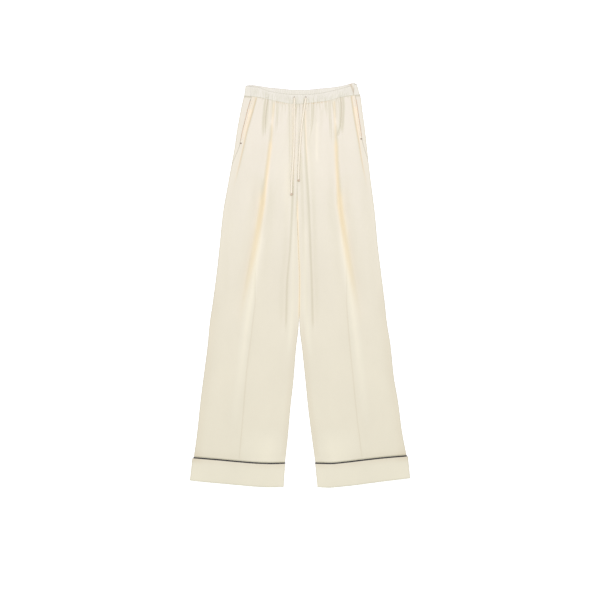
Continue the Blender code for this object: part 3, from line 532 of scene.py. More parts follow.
class Tube:
    """Rows of a flattened tube, a leg or a cuff, one row for each place given. Its ends are the outer edge's
    place down and across, and then the inner edge's. Curl says how far the inner edge is rolled under, from
    0, where it meets the other leg, to 1. Corner and sink shape that roll, and settled says how far it lies
    down."""

    def __init__(self, leg, ends, wall, radius, curl, corner=1.0, sink=1.0, settled=1.0):
        self.outer_down, outer, self.inner_down, inner = ends
        self.corner, self.sink, self.settled = corner, sink, settled
        self.radius = radius
        self.floor = wall / 2
        self.rest = wall / 2 + wall + LAYER_GAP
        self.curl = curl * math.pi / 2
        clear = SEAM_GAP / 2 + curl * (CLOTH_THICKNESS / 2 + LEG_GAP)
        self.outer = outer - leg.side * wall / 2
        self.inner = inner + leg.side * clear
        self.width = np.hypot(self.inner - self.outer, self.inner_down - self.outer_down)
        self.quarter = radius * math.pi / 2
        self.inner_start = self.width - radius * np.sin(self.curl)
        self.length = self.quarter + self.inner_start - radius + radius * self.curl

    def place_at(self, share):
        across = self.outer + (self.inner - self.outer) * share
        return across, self.outer_down + (self.inner_down - self.outer_down) * share

    def place(self, reach):
        return self.place_at(reach / self.width)

    def share_at(self, across):
        return (across - self.outer) / (self.inner - self.outer)

    def along_at(self, across):
        return self.share_at(across) * self.width - self.radius + self.quarter

    def top_height(self, reach):
        across, down = self.place(reach)
        lying = self.rest + front_relief(across, down)
        edge_top = self.floor + 2 * self.radius
        by_outer = bell(reach - self.radius, EDGE_FALL)
        by_inner = bell(self.inner_start - reach, EDGE_FALL) * self.settled
        seam = bell(self.inner_start - reach, SEAM_DIP_WIDTH) * (1 - self.curl / (math.pi / 2))
        share = 1 - (1 - by_outer) * (1 - by_inner)
        return lying + (edge_top - lying) * share - SEAM_DIP * seam

    def turns(self, along):
        """How far the cloth has turned round each edge at distances along, and which of them are there."""
        curl_start = self.length - self.radius * self.curl
        outer_turn = np.clip(along / self.radius, 0, math.pi / 2)
        inner_turn = np.clip((along - curl_start) / self.radius, 0, math.pi / 2)
        return outer_turn, inner_turn, along < self.quarter, along > curl_start

    def top(self, along):
        """Reach and height at distances along the front, from the outer edge inwards."""
        r = self.radius
        outer_turn, inner_turn, at_outer, at_inner = self.turns(along)
        middle = np.clip(r + along - self.quarter, r, self.inner_start)
        sine, cosine = np.maximum(np.sin(inner_turn), 0), np.maximum(np.cos(inner_turn), 0)
        reach = np.where(at_outer, r * (1 - np.cos(outer_turn)), middle)
        reach = np.where(at_inner, self.inner_start + r * sine**self.corner, reach)
        height = np.where(at_outer, self.floor + r * (1 + np.sin(outer_turn)), self.top_height(middle))
        height = np.where(at_inner, height - r * self.sink * (1 - cosine**self.corner), height)
        return reach, height

    def under(self, along):
        """Reach and height at distances along the back, from the outer edge inwards."""
        r = self.radius
        outer_turn, inner_turn, at_outer, at_inner = self.turns(along)
        reach = np.where(at_outer, r * (1 - np.cos(outer_turn)), r + along - self.quarter)
        reach = np.where(at_inner, self.inner_start + r * np.sin(inner_turn), reach)
        height = np.where(at_outer, self.floor + r * (1 - np.sin(outer_turn)), self.floor)
        return reach, np.where(at_inner, self.floor + r * (1 - np.cos(inner_turn)), height)


def leg_tube(leg, row_down):
    downs, *edges = zip(*leg.rows)
    outer, inner_down, inner = (smooth_along(downs, edge, row_down) for edge in edges)
    curl = smoothstep((row_down - CROTCH_ROW) / CROTCH_TURN)
    parted = smoothstep((row_down - PARTED_ROW) / PARTED_OVER)
    corner, sink = 0.4 + 0.6 * parted, 0.3 + 0.7 * parted
    settled = smoothstep((row_down - CROTCH_ROW + SETTLED_BEFORE) / SETTLED_OVER)
    ends = (row_down, outer, inner_down, inner)
    return Tube(leg, ends, CLOTH_WALL, LEG_EDGE_RADIUS, curl, corner, sink, settled)


def cuff_tube(leg, share):
    ends = [a + (b - a) * share for a, b in zip(*leg.cuff)]
    return Tube(leg, ends, CUFF_WALL, CUFF_EDGE_RADIUS, np.ones_like(share))


def seam_inset(leg, row_down):
    return along_line(leg.seam, row_down)


def seam_half_gap(leg, row_down):
    top, foot = leg.mouth
    share = smoothstep((row_down - top) / MOUTH_TAPER) * smoothstep((foot - row_down) / MOUTH_TAPER)
    return (SEAM_GAP + (POCKET_MOUTH_GAP - SEAM_GAP) * share) / 2


def seam_bow(leg, tube, across, waist_line):
    """How far places move down, so that the leg's ends follow the waist seam and the piping."""
    share = tube.share_at(across)
    bow = np.zeros_like(share)
    for row_down, line, shift, sign in (
        (leg.rows[0].outer_down, waist_line, -WAIST_TUCK, 1),
        (leg.rows[-1].outer_down, leg.piping, -PIPING_DIAMETER / 2 - PIPING_GAP, -1),
    ):
        end = leg_tube(leg, np.full_like(share, row_down))
        straight, straight_down = end.place_at(share)
        near = 1 - smoothstep(sign * (tube.outer_down - row_down) / BOW_ROWS)
        bow = bow + (along_line(line, straight) + shift - straight_down) * near
    return bow


def spots(across, down, height):
    """Places in metres in the part's own frame, as an array of points."""
    parts = np.broadcast_arrays(across * MM, WAIST_Y - down * MM, height * MM)
    return np.stack(parts, axis=-1)


def front_points(leg, row_down, along):
    """The front's points, with the warm light and the light and shade painted on the cloth at each."""
    tube = leg_tube(leg, row_down)
    reach, height = tube.top(along)
    across, down = tube.place(reach)
    warmth = tint(WARMTHS + DIMPLES, across, down)
    light = tint(LIGHTS, across, down) - tint(SHADES + DIMPLES, across, down)
    first, last = LOW_SHADE_ROWS
    light = light - LOW_SHADE * smoothstep((down - first) / (last - first))
    down = down + seam_bow(leg, tube, across, FRONT_LOW)
    to_piping = np.maximum(along_line(leg.piping, across) - down, 0.0)
    light = light - piping_shade(leg, across, to_piping, PIPING_SHADE_ABOVE)
    return spots(across, down, height), warmth, light


def back_points(leg, row_down, along):
    """The back's points, those before 0 along being where it wraps round the outer edge on to the front."""
    tube = leg_tube(leg, row_down)
    reach, height = tube.under(np.maximum(along, 0.0))
    across, down = tube.place(reach)
    down = down + seam_bow(leg, tube, across, BACK_LOW)
    wrapped, _, _ = front_points(leg, row_down, np.maximum(-along, 0.0))
    return np.where((along < 0)[..., None], wrapped, spots(across, down, height))


# Materials
def new_material(name):
    made = bpy.data.materials.new(name)
    made.use_nodes = True
    return made, made.node_tree, made.node_tree.nodes["Principled BSDF"]


def add(tree, kind, x, y, **values):
    node = tree.nodes.new(kind)
    node.location = (x, y)
    for key, value in values.items():
        setattr(node, key, value)
    return node


def feed(tree, node, values):
    """Sets a node's inputs, by name or number, to values or to the outputs of other nodes."""
    for key, value in values.items():
        if isinstance(value, bpy.types.NodeSocket):
            tree.links.new(value, node.inputs[key])
        else:
            node.inputs[key].default_value = value


def math_node(tree, operation, x, y, *values):
    node = add(tree, "ShaderNodeMath", x, y, operation=operation)
    feed(tree, node, dict(enumerate(values)))
    return node.outputs[0]


def mix_colour(tree, x, y, factor, a, b, blend="MIX"):
    node = add(tree, "ShaderNodeMix", x, y, data_type="RGBA", blend_type=blend)
    feed(tree, node, {0: factor, 6: a, 7: b})
    return node.outputs[2]


def bump(tree, height, strength, distance):
    relief = add(tree, "ShaderNodeBump", -250, -250)
    feed(tree, relief, {"Strength": strength, "Distance": distance, "Height": height})
    return relief.outputs["Normal"]


def stretched_noise(tree, y, vector, scale, stretch, detail):
    """Noise whose grain is drawn out along the second axis of its coordinates."""
    mapping = add(tree, "ShaderNodeMapping", -700, y)
    feed(tree, mapping, {"Vector": vector, "Scale": (scale, scale / stretch, scale)})
    made = add(tree, "ShaderNodeTexNoise", -500, y)
    feed(tree, made, {"Vector": mapping.outputs["Vector"], "Scale": 1.0, "Detail": detail})
    return made.outputs["Fac"]


def new_group(name, inputs, outputs):
    group = bpy.data.node_groups.new(name, "ShaderNodeTree")
    for way, sockets in (("INPUT", inputs), ("OUTPUT", outputs)):
        for label, kind in sockets.items():
            group.interface.new_socket(label, in_out=way, socket_type=f"NodeSocket{kind}")
    return group, add(group, "NodeGroupInput", -900, 0), add(group, "NodeGroupOutput", 700, 0)


def satin_group():
    """Satin on the cut cloth's own coordinates: painted warm light in the hollows, painted light and shade,
    slubs, soft crinkles and the fine weave."""
    group, start, end = new_group(
        "satin_cloth",
        {label: "Color" for label in CLOTH_TONES} | {"Roughness": "Float", "Crinkle": "Float"},
        {"Colour": "Color", "Roughness": "Float", "Height": "Float"},
    )
    given = start.outputs
    uv = add(group, "ShaderNodeUVMap", -900, -300, uv_map="cut").outputs["UV"]
    # The warmth attribute paints warm light bounced between folds; the light attribute paints light above 0
    # and shade below it
    hollow = add(group, "ShaderNodeAttribute", -900, 300, attribute_name="warmth").outputs["Fac"]
    light = add(group, "ShaderNodeAttribute", -900, 500, attribute_name="light").outputs["Fac"]
    base = mix_colour(group, -600, 300, light, given["Colour"], given["Lit Colour"])
    warm = mix_colour(group, -400, 300, hollow, base, given["Warm Colour"])
    shade = math_node(group, "MULTIPLY", -600, 500, light, -1.0)
    toned = mix_colour(group, -200, 400, shade, warm, given["Shaded Colour"])
    slub = stretched_noise(group, 0, uv, *SLUBS)
    cloud = stretched_noise(group, -200, uv, *CLOUDS)
    slubby = math_node(group, "MULTIPLY_ADD", -250, 0, slub, 0.03, 0.955)
    cloudy = math_node(group, "MULTIPLY_ADD", -250, -150, cloud, 0.09, -0.015)
    level = math_node(group, "ADD", -100, 0, slubby, cloudy)
    grey = add(group, "ShaderNodeCombineColor", 50, 0)
    feed(group, grey, {"Red": level, "Green": level, "Blue": level})
    soft = stretched_noise(group, -500, uv, *SOFT_CRINKLES)
    fine = stretched_noise(group, -700, uv, *FINE_CRINKLES)
    weave = stretched_noise(group, -900, uv, *WEAVE)
    crinkled = math_node(group, "MULTIPLY", -250, -500, soft, given["Crinkle"])
    finer = math_node(group, "MULTIPLY", -250, -700, fine, 0.22)
    woven = math_node(group, "MULTIPLY", -250, -900, weave, 0.05)
    finest = math_node(group, "ADD", -100, -800, finer, woven)
    feed(group, end, {
        "Colour": mix_colour(group, 250, 200, 1.0, toned, grey.outputs[0], "MULTIPLY"),
        "Roughness": math_node(group, "MULTIPLY_ADD", -100, -300, slub, 0.12, given["Roughness"]),
        "Height": math_node(group, "ADD", 0, -600, crinkled, finest),
    })
    return group


def cloth_material(name, group, colour, roughness, crinkle, relief):
    made, tree, shader = new_material(name)
    cloth = add(tree, "ShaderNodeGroup", -500, 0, node_tree=group)
    tones = {label: (*(a * b for a, b in zip(colour, tone)), 1) for label, tone in CLOTH_TONES.items()}
    feed(tree, cloth, tones | {"Roughness": roughness, "Crinkle": crinkle})
    feed(tree, shader, {
        "Base Color": cloth.outputs["Colour"],
        "Roughness": cloth.outputs["Roughness"],
        "Normal": bump(tree, cloth.outputs["Height"], relief, CLOTH_RELIEF),
        "Specular IOR Level": 0.5,
    })
    return made


def thread_material(name, colour, roughness, scale, depth=0.4):
    """Twisted thread or cord: fine diagonal ridges round it, on object coordinates, with painted shade in the
    grooves between them.
    """
    made, tree, shader = new_material(name)
    place = add(tree, "ShaderNodeTexCoord", -900, 0).outputs["Object"]
    wave = add(tree, "ShaderNodeTexWave", -650, 0, wave_type="BANDS", bands_direction="DIAGONAL")
    feed(tree, wave, {"Vector": place, "Scale": scale, "Distortion": 2.0})
    twist = wave.outputs["Fac"]
    # The grooves between the ridges are painted darker: painted shade
    dark = tuple(channel * (1 - 0.45 * depth) for channel in colour)
    feed(tree, shader, {
        "Base Color": mix_colour(tree, -400, 150, twist, (*dark, 1), (*colour, 1)),
        "Normal": bump(tree, twist, depth, THREAD_RELIEF),
        "Roughness": roughness,
    })
    return made


# Pieces
def share_grid(columns, rows):
    """A grid, with the shares across and down for each of its vertices in their order."""
    bm = bmesh.new()
    bmesh.ops.create_grid(bm, x_segments=columns, y_segments=rows, size=0.5)
    co = np.array([vert.co for vert in bm.verts])
    return bm, co[:, 0] + 0.5, co[:, 1] + 0.5


def put_in_scene(name, data):
    obj = bpy.data.objects.new(name, data)
    bpy.context.scene.collection.objects.link(obj)
    return obj


def new_piece(name, bm, material):
    mesh = bpy.data.meshes.new(name)
    bm.to_mesh(mesh)
    bm.free()
    mesh.materials.append(material)
    return put_in_scene(name, mesh)


def settle(obj, slot, *nodes):
    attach(obj, "root")
    if nodes:
        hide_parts(*nodes)
    return obj


def cloth_piece(name, columns, rows, surface, thickness, material, node):
    """A thin shell: a grid placed by a function of the shares, with its cut size as its UV map.
    The function gives the points, the painted warm light, light and shade, and the cut's coordinates in
    metres."""
    bm, u, v = share_grid(columns, rows)
    points, warmth, light, cut_across, cut_down = surface(u, v)
    uv_layer = bm.loops.layers.uv.new("cut")
    warmth_layer = bm.verts.layers.float.new("warmth")
    light_layer = bm.verts.layers.float.new("light")
    for vert, point, warm, lit in zip(bm.verts, points, warmth, light):
        vert.co = point
        vert[warmth_layer] = warm
        vert[light_layer] = lit
    for face in bm.faces:
        face.smooth = True
        for loop in face.loops:
            k = loop.vert.index
            loop[uv_layer].uv = (cut_across[k], cut_down[k])
    obj = new_piece(name, bm, material)
    wall = obj.modifiers.new("wall", "SOLIDIFY")
    wall.thickness = thickness * MM
    wall.offset = 0.0
    return settle(obj, "ivory_satin", node)


def spread(u, columns, stops):
    """Places from shares, between stops that each have their own number of the grid's columns."""
    ends = np.concatenate(([0.0], np.cumsum(columns) / sum(columns)))
    place = stops[0]
    for k in range(len(columns)):
        inside = np.clip((u - ends[k]) / (ends[k + 1] - ends[k]), 0, 1)
        place = place + (stops[k + 1] - stops[k]) * inside
    return place


def front_panel(leg, material):
    columns = (6, 62, 74, 8)
    first, last = WAIST_ROW, leg.rows[-1].outer_down

    def surface(u, v):
        # Rows lie closer together towards the waist
        row_down = first + (last - first) * (0.6 * v + 0.4 * v * v)
        tube = leg_tube(leg, row_down)
        start = seam_inset(leg, row_down) + seam_half_gap(leg, row_down)
        end = tube.length - SEAM_GAP / 2 * smoothstep(tube.curl)
        ridge = tube.along_at(along_line(leg.pleat, row_down))
        along = spread(u, columns, (start, start + tube.quarter, ridge, end - tube.quarter, end))
        return *front_points(leg, row_down, along), along * MM, row_down * MM

    name = f"front_panel_{leg.name}"
    obj = cloth_piece(name, sum(columns), 280, surface, CLOTH_THICKNESS, material, f"front_{leg.name}")


def back_panel(leg, material):
    columns = (12, 6, 6, 30, 6)
    first, last = WAIST_ROW, leg.rows[-1].outer_down

    def surface(u, v):
        row_down = first + (last - first) * v
        tube = leg_tube(leg, row_down)
        inset = seam_inset(leg, row_down) - seam_half_gap(leg, row_down)
        turn = np.minimum(tube.quarter, inset / 2)
        end = tube.length - SEAM_GAP / 2 * smoothstep(tube.curl)
        along = spread(u, columns, (-inset, -turn, 0.0, tube.quarter, end - tube.quarter, end))
        plain = np.zeros_like(along)
        return back_points(leg, row_down, along), plain, plain, along * MM, row_down * MM

    name = f"back_panel_{leg.name}"
    obj = cloth_piece(name, sum(columns), 140, surface, CLOTH_THICKNESS, material, f"back_{leg.name}")


def facing_strip(leg, material):
    top, foot = leg.mouth

    def surface(u, v):
        row_down = top + STRIP_LEAD + (foot - top - STRIP_LEAD) * v
        along = seam_inset(leg, row_down) + (u - 0.5) * STRIP_WIDTH
        points, _, _ = front_points(leg, row_down, along)
        points[:, 2] -= STRIP_DROP * MM
        # Painted fully warm: the warm light bounced into the pocket mouth
        return points, np.ones_like(u), np.zeros_like(u), u * 0.01, v * 0.11

    name = f"pocket_strip_{leg.name}"
    obj = cloth_piece(name, 8, 40, surface, CLOTH_THICKNESS, material, f"pocket_facing_{leg.name}")


def ruching(x, v):
    """The height of the elastic's gathers at distances along the band, and across its height."""
    drift = noise_at(x / 19, v * 0.9, 2.2) * 0.9 + noise_at(x / 47, v * 0.4, 5.2) * 1.2
    wave = np.cos(2 * math.pi * (x / RUCHE_PITCH + drift))
    fine = np.cos(2 * math.pi * (x / (RUCHE_PITCH * FINE_RUCHE_SHARE) + drift * 2.3 + v))
    strength = 0.65 + 0.5 * noise_at(x / 13, v * 1.3, 7.7)
    return RUCHE_HEIGHT * (0.5 + 0.5 * wave) ** 1.5 * strength + FINE_RUCHE_HEIGHT * fine


def band_edge_roll(t, height):
    """How far the face falls at the band's two folded edges, t being the distance from the top."""
    near = np.minimum(t, height - t)
    return BAND_ROLL_DEPTH * (1 - np.sqrt(1 - (1 - np.clip(near / BAND_ROLL_REACH, 0, 1)) ** 2))


def front_band(material):
    lying = BAND_WALL * 1.5 + LAYER_GAP
    edge_top = BAND_WALL / 2 + 2 * BAND_EDGE_RADIUS

    def surface(u, v):
        x0 = BAND_SEAM_RIGHT + SEAM_GAP / 2
        x1 = BAND_SEAM_LEFT - SEAM_GAP / 2 - NOTCH_WIDTH * (1 - smoothstep(v / 0.8))
        across = x0 + (x1 - x0) * u
        wobble = 0.5 * noise_at(across / 5, 0.3, 3.1)
        top = along_line(FRONT_TOP, across) + wobble + NOTCH_DROP * smoothstep((across - NOTCH_DROP_FROM) / 8)
        low = along_line(FRONT_LOW, across)
        tall = low - top
        near_seam = smoothstep(1 - np.minimum(u, 1 - u) / BAND_END_SHARE)
        centre = lying + (edge_top - lying) * near_seam
        sewn = CLOTH_WALL * 1.5 + LAYER_GAP + front_relief(across, low + WAIST_SEAM_GAP)
        sewn = sewn + (CLOTH_WALL / 2 + 2 * LEG_EDGE_RADIUS - sewn) * near_seam
        raised = ruching(across, v) * (0.35 + 0.65 * np.sin(math.pi * v))
        height = centre - 0.5 + (sewn + 0.1 - centre) * smoothstep(v * 1.1) + raised
        height = height - 0.35 * band_edge_roll(tall * v, tall)
        end_shade = NOTCH_SHADE * bell(x1 - across, NOTCH_EDGE_WIDTH) * smoothstep((v - 0.25) / 0.3)
        return spots(across, top + tall * v, height), np.zeros_like(u), -end_shade, u * 0.5, v * 0.03

    obj = cloth_piece("front_band", 900, 20, surface, BAND_THICKNESS, material, "waistband_front")


def back_band(material):
    radius = BAND_EDGE_RADIUS
    floor = BAND_WALL / 2
    columns = (40, 16, 560, 16, 40)
    marks = np.cumsum((0,) + columns)
    start, end = BAND_SEAM_RIGHT - SEAM_GAP / 2, BAND_SEAM_LEFT + SEAM_GAP / 2

    def surface(u, v):
        # Round the band: the right end's front, its fold, the back, the left fold and that end's front
        right, left = (
            high + (foot - high) * v + inward * floor for (high, foot), inward in zip(BAND_ENDS, (1, -1))
        )
        step = u * sum(columns)
        s = [np.clip((step - mark) / count, 0, 1) for mark, count in zip(marks, columns)]
        across = np.select(
            [step <= mark for mark in marks[1:5]],
            [
                start + (right + radius - start) * s[0],
                right + radius * (1 - np.sin(math.pi * s[1])),
                right + radius + (left - right - 2 * radius) * s[2],
                left - radius * (1 - np.sin(math.pi * s[3])),
            ],
            left - radius + (end - left + radius) * s[4],
        )
        turn = np.select([step <= marks[2], step >= marks[3]], [1 - s[1], s[3]], 0.0)
        height = floor + radius * (1 - np.cos(math.pi * turn))
        upper = smoothstep((height - floor) / (2 * radius))
        top = along_line(BACK_TOP, across) * (1 - upper) + along_line(FRONT_TOP, across) * upper
        low = along_line(BACK_LOW, across) * (1 - upper) + along_line(FRONT_LOW, across) * upper
        top = top + 0.5 * noise_at(across / 6, 0.7, 6.1)
        tall = low - top
        raised = ruching(across + 400, v) * (0.5 + 0.5 * np.sin(math.pi * v))
        flat = (1 - upper) * smoothstep(np.minimum(step - marks[2], marks[3] - step) / 12)
        on_top = upper * smoothstep((np.abs(across) - 130) / 6)
        height = height + (raised + BAND_PUFF) * flat + 0.5 * raised * on_top
        height = height - band_edge_roll(tall * v, tall) * 0.2 * (flat + on_top)
        height = height - 0.5 * upper * smoothstep(v * 1.2)
        notch_line = BAND_SEAM_LEFT - NOTCH_SLANT * (1 - smoothstep(v * 1.3))
        notch = bell(across - notch_line, NOTCH_SHADE_WIDTH)
        inner_face = (1 - upper) * (step > marks[1])
        points = spots(across, top + tall * v, np.maximum(height, floor))
        return points, 0.3 * notch * inner_face, -NOTCH_SHADE * notch * inner_face, u * 0.55, v * 0.03

    obj = cloth_piece("back_band", sum(columns), 16, surface, BAND_THICKNESS, material, "waistband_back")


def cuff_piece(leg, part, material):
    columns = (8, 84, 8)
    is_front = part == "front"

    def surface(u, v):
        tube = cuff_tube(leg, v)
        start, end = SEAM_GAP / 2, tube.length - SEAM_GAP / 2
        along = spread(u, columns, (start, start + tube.quarter, end - tube.quarter, end))
        roll = bell((1 - v) * CUFF_DEPTH, HEM_ROLL_REACH)
        if is_front:
            reach, height = tube.top(along)
            sway = CUFF_SWAY * noise_at(reach / 28, v * 1.5, 8.8) * np.sin(math.pi * v)
            height = height + sway - FRONT_HEM_ROLL * roll
        else:
            reach, height = tube.under(along)
            height = height + BACK_HEM_ROLL * roll
        across, _ = tube.place(reach)
        top = along_line(leg.piping, across) + PIPING_DIAMETER / 2 + PIPING_GAP
        down = top + (along_line(leg.hem, across) - top) * v
        light = CUFF_LIGHT * smoothstep(v * 1.4) - piping_shade(leg, across, down - top, PIPING_SHADE_BELOW)
        return spots(across, down, height), np.zeros_like(u), light, along * MM, down * MM

    name = f"cuff_{part}_cloth_{leg.name}"
    obj = cloth_piece(name, sum(columns), 40, surface, CUFF_THICKNESS, material, f"cuff_{part}_{leg.name}")


def units(vectors):
    return vectors / np.linalg.norm(vectors, axis=1)[:, None]


def tube_piece(name, route, radius_at, sides, material, closed):
    """A tube along a route of points: rings on a grid, joined round and, if closed, end to end."""
    spans = len(route) if closed else len(route) - 1
    bm, u, v = share_grid(sides, spans)
    k = np.rint(v * spans).astype(int) % len(route)
    ahead = np.roll(route, -1, axis=0) - np.roll(route, 1, axis=0)
    if not closed:
        ahead[0], ahead[-1] = route[1] - route[0], route[-1] - route[-2]
    ahead = units(ahead)
    side = np.array([0.0, 1.0, 0.0] if closed else [0.0, 0.0, 1.0])
    up = units(side - ahead * (ahead @ side)[:, None])
    aside = np.cross(ahead, up)
    angle = 2 * math.pi * u
    radius = radius_at(angle, v)[:, None]
    points = route[k] + radius * (np.cos(angle)[:, None] * aside[k] + np.sin(angle)[:, None] * up[k])
    for vert, point in zip(bm.verts, points):
        vert.co = point
    bmesh.ops.remove_doubles(bm, verts=bm.verts[:], dist=1e-6)
    if not closed:
        loose = [edge for edge in bm.edges if edge.is_boundary]
        bmesh.ops.holes_fill(bm, edges=loose, sides=0)
    bmesh.ops.recalc_face_normals(bm, faces=bm.faces[:])
    for face in bm.faces:
        face.smooth = len(face.verts) < 5
    return new_piece(name, bm, material)


def piping_piece(leg, material):
    """The piping's ring: over the front, round both edges and under the back."""
    tube = leg_tube(leg, np.array([float(leg.rows[-1].outer_down)]))
    low = PIPING_DIAMETER / 2 + PIPING_FLOOR_GAP
    radius = (tube.floor + 2 * tube.radius + PIPING_LIFT - low) / 2
    first, end = radius - PIPING_LIFT, float(tube.width[0]) - radius + PIPING_LIFT
    straight = np.linspace(first, end, 90)
    turns = np.linspace(0, math.pi, 14)[1:-1]
    reach = (straight, end + radius * np.sin(turns), straight[::-1], first - radius * np.sin(turns))
    height = (
        tube.top_height(straight) + PIPING_LIFT,
        low + radius * (1 + np.cos(turns)),
        np.full_like(straight, low),
        low + radius * (1 - np.cos(turns)),
    )
    across, _ = tube.place(np.concatenate(reach))
    wander = 0.25 * noise_at(across / 14, 0.0, 3.3)
    route = spots(across, along_line(leg.piping, across) + wander, np.concatenate(height))

    def radius_at(angle, v):
        return np.full_like(angle, PIPING_DIAMETER / 2 * MM) * (1 + 0.03 * noise_at(v * 160, 0.0, 1.1))

    obj = tube_piece(f"piping_cord_{leg.name}", route, radius_at, 12, material, True)
    settle(obj, "black_piping", f"piping_{leg.name}")


def route_along(points, step):
    """A smooth line through points across, down and high, evenly stepped, in metres."""
    points = np.array(points, float)
    places = np.concatenate(([0.0], np.cumsum(np.linalg.norm(np.diff(points, axis=0), axis=1))))
    at = np.linspace(0, places[-1], max(2, round(places[-1] / step)))
    across, down, height = (smooth_along(places, column, at) for column in points.T)
    return spots(across, down, height)


def knot_piece(name, end, direction, material):
    """A small overhand knot, drawn tight round the end of the drawstring."""
    t = np.linspace(0, 2 * math.pi, 72, endpoint=False)
    loop = KNOT_SIZE * MM * np.stack(
        (np.sin(t) + 2 * np.sin(2 * t), np.cos(t) - 2 * np.cos(2 * t), -1.25 * np.sin(3 * t)), axis=1
    )
    aside = np.array([direction[1], -direction[0], 0.0])
    up = np.array([0.0, 0.0, 1.0])
    centre = end + direction * KNOT_AHEAD * MM
    route = centre + loop[:, :1] * aside + loop[:, 1:2] * direction * 0.85 + loop[:, 2:] * up

    def radius_at(angle, v):
        return np.full_like(angle, KNOT_STRAND / 2 * MM)

    return tube_piece(name, route, radius_at, 10, material, True)


def drawstring(name, points, material, knot_material):
    route = route_along(points, CORD_STEP)
    seed = 1.0 if name == "right" else 5.0

    def radius_at(angle, v):
        length = v * len(route) * CORD_STEP
        crease = 0.05 * np.cos(angle - 0.6 + length / 30)
        ripple = 0.05 * noise_at(length / 5, np.cos(angle), seed)
        return CORD_DIAMETER / 2 * MM * (0.97 + crease + ripple)

    obj = tube_piece(f"drawstring_cord_{name}", route, radius_at, 14, material, False)
    settle(obj, "drawstring_satin", f"drawstring_{name}")
    direction = route[-1] - route[-4]
    direction /= np.linalg.norm(direction)
    tip = knot_piece(f"drawstring_tip_{name}", route[-1], direction, knot_material)
    settle(tip, "drawstring_satin", f"drawstring_knot_{name}")


def stitches(name, places, material, radius):
    """Stitches of thread, each a small rounded bar between two points given in metres."""
    bm = bmesh.new()
    for a, b in places:
        a, b = Vector(a), Vector(b)
        turn = (b - a).to_track_quat("Z", "Y").to_matrix().to_4x4()
        size = Matrix.Diagonal((radius * 2 * MM, radius * 2 * MM, (b - a).length, 1))
        place = Matrix.Translation((a + b) / 2) @ turn @ size
        bmesh.ops.create_uvsphere(bm, u_segments=6, v_segments=4, radius=0.5, matrix=place)
    for face in bm.faces:
        face.smooth = True
    settle(new_piece(name, bm, material), "ivory_satin")


def on_front(leg, row_down, along, lift):
    """A point on the front's face, moved out from it by a lift in millimetres."""
    points, _, _ = front_points(leg, np.array([float(row_down)]), np.array([float(along)]))
    return points[0] + np.array([0, 0, (CLOTH_THICKNESS / 2 + lift) * MM])


def pocket_sewing(leg, thread):
    """A line of stitches beside the pocket mouth, and a bar tack across its foot."""
    top, foot = leg.mouth
    places = []
    for down in np.arange(top + 2, foot - 6, STITCH_PITCH):
        inset = float(seam_inset(leg, down)) + STITCH_INSET
        end = on_front(leg, down + STITCH_LENGTH, inset - 0.2, 0.05)
        places.append((on_front(leg, down, inset, 0.05), end))
    stitches(f"pocket_stitches_{leg.name}", places, thread, POCKET_THREAD)
    bars = []
    for step in range(BAR_TACK_STITCHES):
        down = foot + 2 + step * BAR_TACK_PITCH
        inset = float(seam_inset(leg, down))
        bars.append((on_front(leg, down, inset - 1.0, 0.35), on_front(leg, down, inset + 4.4, 0.25)))
    stitches(f"bar_tack_{leg.name}", bars, thread, TACK_THREAD)


def buttonhole(name, across, thread, dark):
    """A worked buttonhole in the front of the band, where one end of the drawstring comes out."""
    down, height = BUTTONHOLE_DOWN, BUTTONHOLE_HEIGHT
    half_length, half_width = BUTTONHOLE_SIZE[0] / 2, BUTTONHOLE_SIZE[1] / 2
    ends = [(across, down - half_length + 1, height - 0.2), (across, down + half_length - 1, height - 0.3)]

    def narrow(angle, v):
        return (0.35 + 0.4 * np.abs(np.cos(angle))) * MM

    # The slit is a thin near-black tube: painted shadow inside the buttonhole's opening
    settle(tube_piece(f"{name}_slit", route_along(ends, 1.0), narrow, 12, dark, False), "ivory_satin")
    places = []
    for turn in np.linspace(0, 2 * math.pi, BUTTONHOLE_STITCHES, endpoint=False):
        ahead, aside = math.cos(turn), math.sin(turn)
        edge = spots(across + aside * half_width, down + ahead * half_length, height)
        inner_width, inner_length = half_width - BUTTONHOLE_BITE, half_length - BUTTONHOLE_BITE
        inside = spots(across + aside * inner_width, down + ahead * inner_length, height + 0.15)
        places.append((edge, inside))
    stitches(f"{name}_stitches", places, thread, BUTTONHOLE_THREAD)


def stage_floor():
    made, tree, shader = new_material("pale_floor")
    feed(tree, shader, {
        "Base Color": (0.78, 0.78, 0.78, 1),
        "Roughness": 0.9,
        "Emission Color": (1, 1, 1, 1),
        "Emission Strength": 0.4,
    })
    bm = bmesh.new()
    bmesh.ops.create_grid(bm, x_segments=1, y_segments=1, size=6.0)
    floor = new_piece("floor", bm, made)
    floor.location.z = FLOOR_Z
    floor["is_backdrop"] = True


def camera():
    """Straight above the trousers, on a long lens."""
    data = bpy.data.cameras.new("camera")
    data.sensor_width = SENSOR_WIDTH
    data.lens = SENSOR_WIDTH * CAMERA_HEIGHT / VIEW_SPAN
    data.clip_end = 50
    made = put_in_scene("camera", data)
    made.location = (0, WAIST_Y - VIEW_CENTRE_DOWN, CAMERA_HEIGHT)
    bpy.context.scene.camera = made


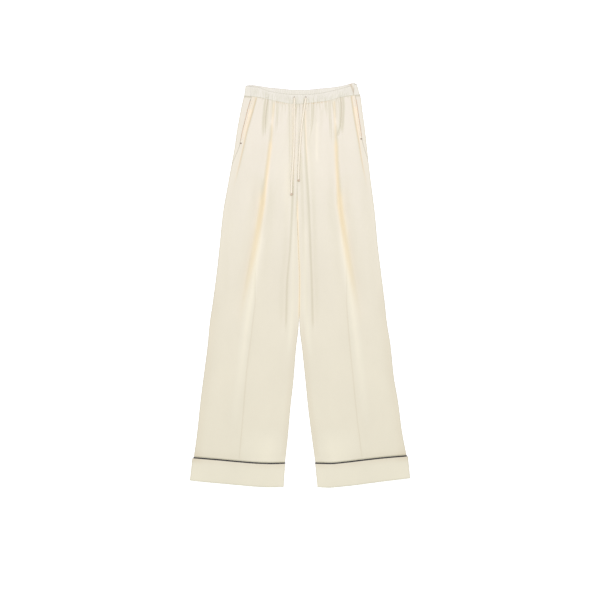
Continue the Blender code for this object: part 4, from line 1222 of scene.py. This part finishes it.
def softbox(name, place, aim, size, power, colour=(1, 1, 1)):
    data = bpy.data.lights.new(name, "AREA")
    data.shape = "RECTANGLE"
    data.size, data.size_y = size
    data.energy = power
    data.color = colour
    made = put_in_scene(name, data)
    made.location = place
    made.rotation_euler = (Vector(aim) - Vector(place)).to_track_quat("-Z", "Y").to_euler()
    made.visible_camera = False


def lights():
    world = bpy.data.worlds.new("studio")
    world.use_nodes = True
    tree = world.node_tree
    feed(tree, tree.nodes["Background"], {"Color": (1, 1, 1, 1), "Strength": 0.62})
    bpy.context.scene.world = world
    softbox("key", (0.0, 1.1, 3.0), (0, 0.3, 0), (1.2, 0.9), 35, (1.0, 0.87, 1.27))
    softbox("fill", (0.0, -0.8, 4.0), (0, -0.3, 0), (3.2, 3.2), 66)
    bpy.context.scene.view_settings.view_transform = "Standard"


def main():
    camera()
    satin = satin_group()
    cloth = cloth_material("ivory_satin", satin, (0.626, 0.603, 0.441), 0.36, 1.0, 0.5)
    band_cloth = cloth_material("band_satin", satin, (0.640, 0.634, 0.492), 0.40, 0.6, 0.4)
    # A darker, browner copy of the satin for the pocket facing: painted shade in the pocket mouth
    shade_cloth = cloth_material("pocket_satin_painted_shade", satin, (0.60, 0.50, 0.36), 0.5, 0.5, 0.4)
    cord_cloth = thread_material("drawstring_satin", (0.785, 0.735, 0.555), 0.40, 120.0, 0.10)
    # The knot's satin is a darker, browner copy of the drawstring's: painted shade in and under the knot
    knot_cloth = thread_material("knot_satin_painted_shade", (0.62, 0.49, 0.35), 0.45, 260.0, 0.3)
    black = thread_material("black_piping", (0.011, 0.010, 0.013), 0.6, 420.0)
    thread = thread_material("sewing_thread", (0.60, 0.52, 0.40), 0.55, 900.0)
    tack = thread_material("tack_thread", (0.34, 0.26, 0.17), 0.55, 900.0)
    # Near-black for the buttonholes' slits: painted shadow in the openings
    slit_shadow = thread_material("buttonhole_painted_shadow", (0.16, 0.12, 0.08), 0.8, 500.0)
    cords = (("right", RIGHT_CORD), ("left", LEFT_CORD))
    for name, points in cords:
        drawstring(name, points, cord_cloth, knot_cloth)
    for name, points in cords:
        buttonhole(f"buttonhole_{name}", points[0][0], thread, slit_shadow)
    back_band(band_cloth)
    front_band(band_cloth)
    for leg in (RIGHT, LEFT):
        back_panel(leg, cloth)
        front_panel(leg, cloth)
        facing_strip(leg, shade_cloth)
        pocket_sewing(leg, tack)
        cuff_piece(leg, "back", cloth)
        cuff_piece(leg, "front", cloth)
        piping_piece(leg, black)
    stage_floor()
    lights()


main()
